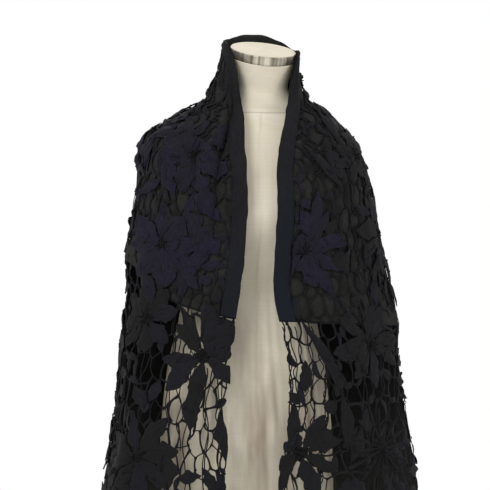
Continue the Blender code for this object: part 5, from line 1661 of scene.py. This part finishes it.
def take_flowers(gathered, cloth, name, outline, chance):
    """The petals, leaves and discs whose middle lies in the outline, with their knots and picots."""
    mine = enclosed(motif_middle, outline)
    gathered.take((motif_points[mine], motif_uv[mine]), CLOTH_SLOT, motif.tone[mine])
    gathered.take(loops(cloth, KNOT_RISE, *flower_knots(cloth, outline, chance)), CORD_SLOT, closed=True)
    gathered.take(loops(cloth, PICOT_RISE, *picot_places(cloth, name, outline, chance)), CORD_SLOT, closed=True)
    return int(mine.sum())


lace = {}
for number, (name, outline) in enumerate(outlines.items()):
    chance = np.random.default_rng(20 + number)
    net, flowers = Gathered(), Gathered()
    flowers = flowers if name == "lace_yoke" else net
    cord_count = take_net(net, shawl_cloth, name, outline, chance)
    motif_count = take_flowers(flowers, shawl_cloth, name, outline, chance)
    if name == "lace_yoke":
        lace["lace_yoke_net"] = net.mesh("lace_yoke_net")
        lace["lace_yoke_flowers"] = flowers.mesh("lace_yoke_flowers")
    else:
        lace[name + "_cloth"] = net.mesh(name + "_cloth")
    print(name, "has", cord_count, "cell sides and", motif_count, "petals, leaves and buds")

for name, made in lace.items():
    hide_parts("lace_yoke" if name.startswith("lace_yoke") else name[: -len("_cloth")])
    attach(made, "root")
    print(name, "has", sum(len(face.vertices) - 2 for face in made.data.polygons), "triangles")

# %% [markdown]
# ## Piping
# The lining's lower edge is turned up and stitched with a black cord, which draws a firm dark line
# over the pale form. The cord is one tube along the same path that cut the lining.

# %% Piping on the lining
piping_work = Gathered()
piping_path = flat_of(smooth_cloth, lining_edge)
piping_work.take(edge_cord(shawl_cloth, piping_path, PIPING_RADIUS, 0.0006, LINING_OFFSET + 0.0006), CORD_SLOT)
piping = piping_work.mesh("lining_piping")
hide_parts("lining_left", "lining_back", "lining_right")
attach(piping, "root")
print("piping points:", piping_work.count)

# %% [markdown]
# Each sheet's cut size is measured as half its closed surface. The lace is rigid here and full of
# holes, so its flat area counts only its cords and petals. The last lines print the sizes.


def flat_area(*pieces):
    """Half of the closed meshes' surface: the area of the cloth that they stand for."""
    total = 0.0
    graph = bpy.context.evaluated_depsgraph_get()
    for made in pieces:
        mesh = made.evaluated_get(graph).to_mesh()
        points = np.empty(len(mesh.vertices) * 3)
        mesh.vertices.foreach_get("co", points)
        mesh.calc_loop_triangles()
        corners = np.empty(len(mesh.loop_triangles) * 3, np.int32)
        mesh.loop_triangles.foreach_get("vertices", corners)
        a, b, c = points.reshape(-1, 3)[corners.reshape(-1, 3)].transpose(1, 0, 2)
        total += float(np.linalg.norm(np.cross(b - a, c - a), axis=1).sum() / 4)
    return total


for made in (lining, band, *lace.values()):
    print(made.name, "half its surface is", round(flat_area(made), 4), "square metres")

yoke_area = flat_area(lace["lace_yoke_net"])
for name in ("lace_end_left_cloth", "lace_end_right_cloth"):
    made = lace[name]
    flat_area(made)
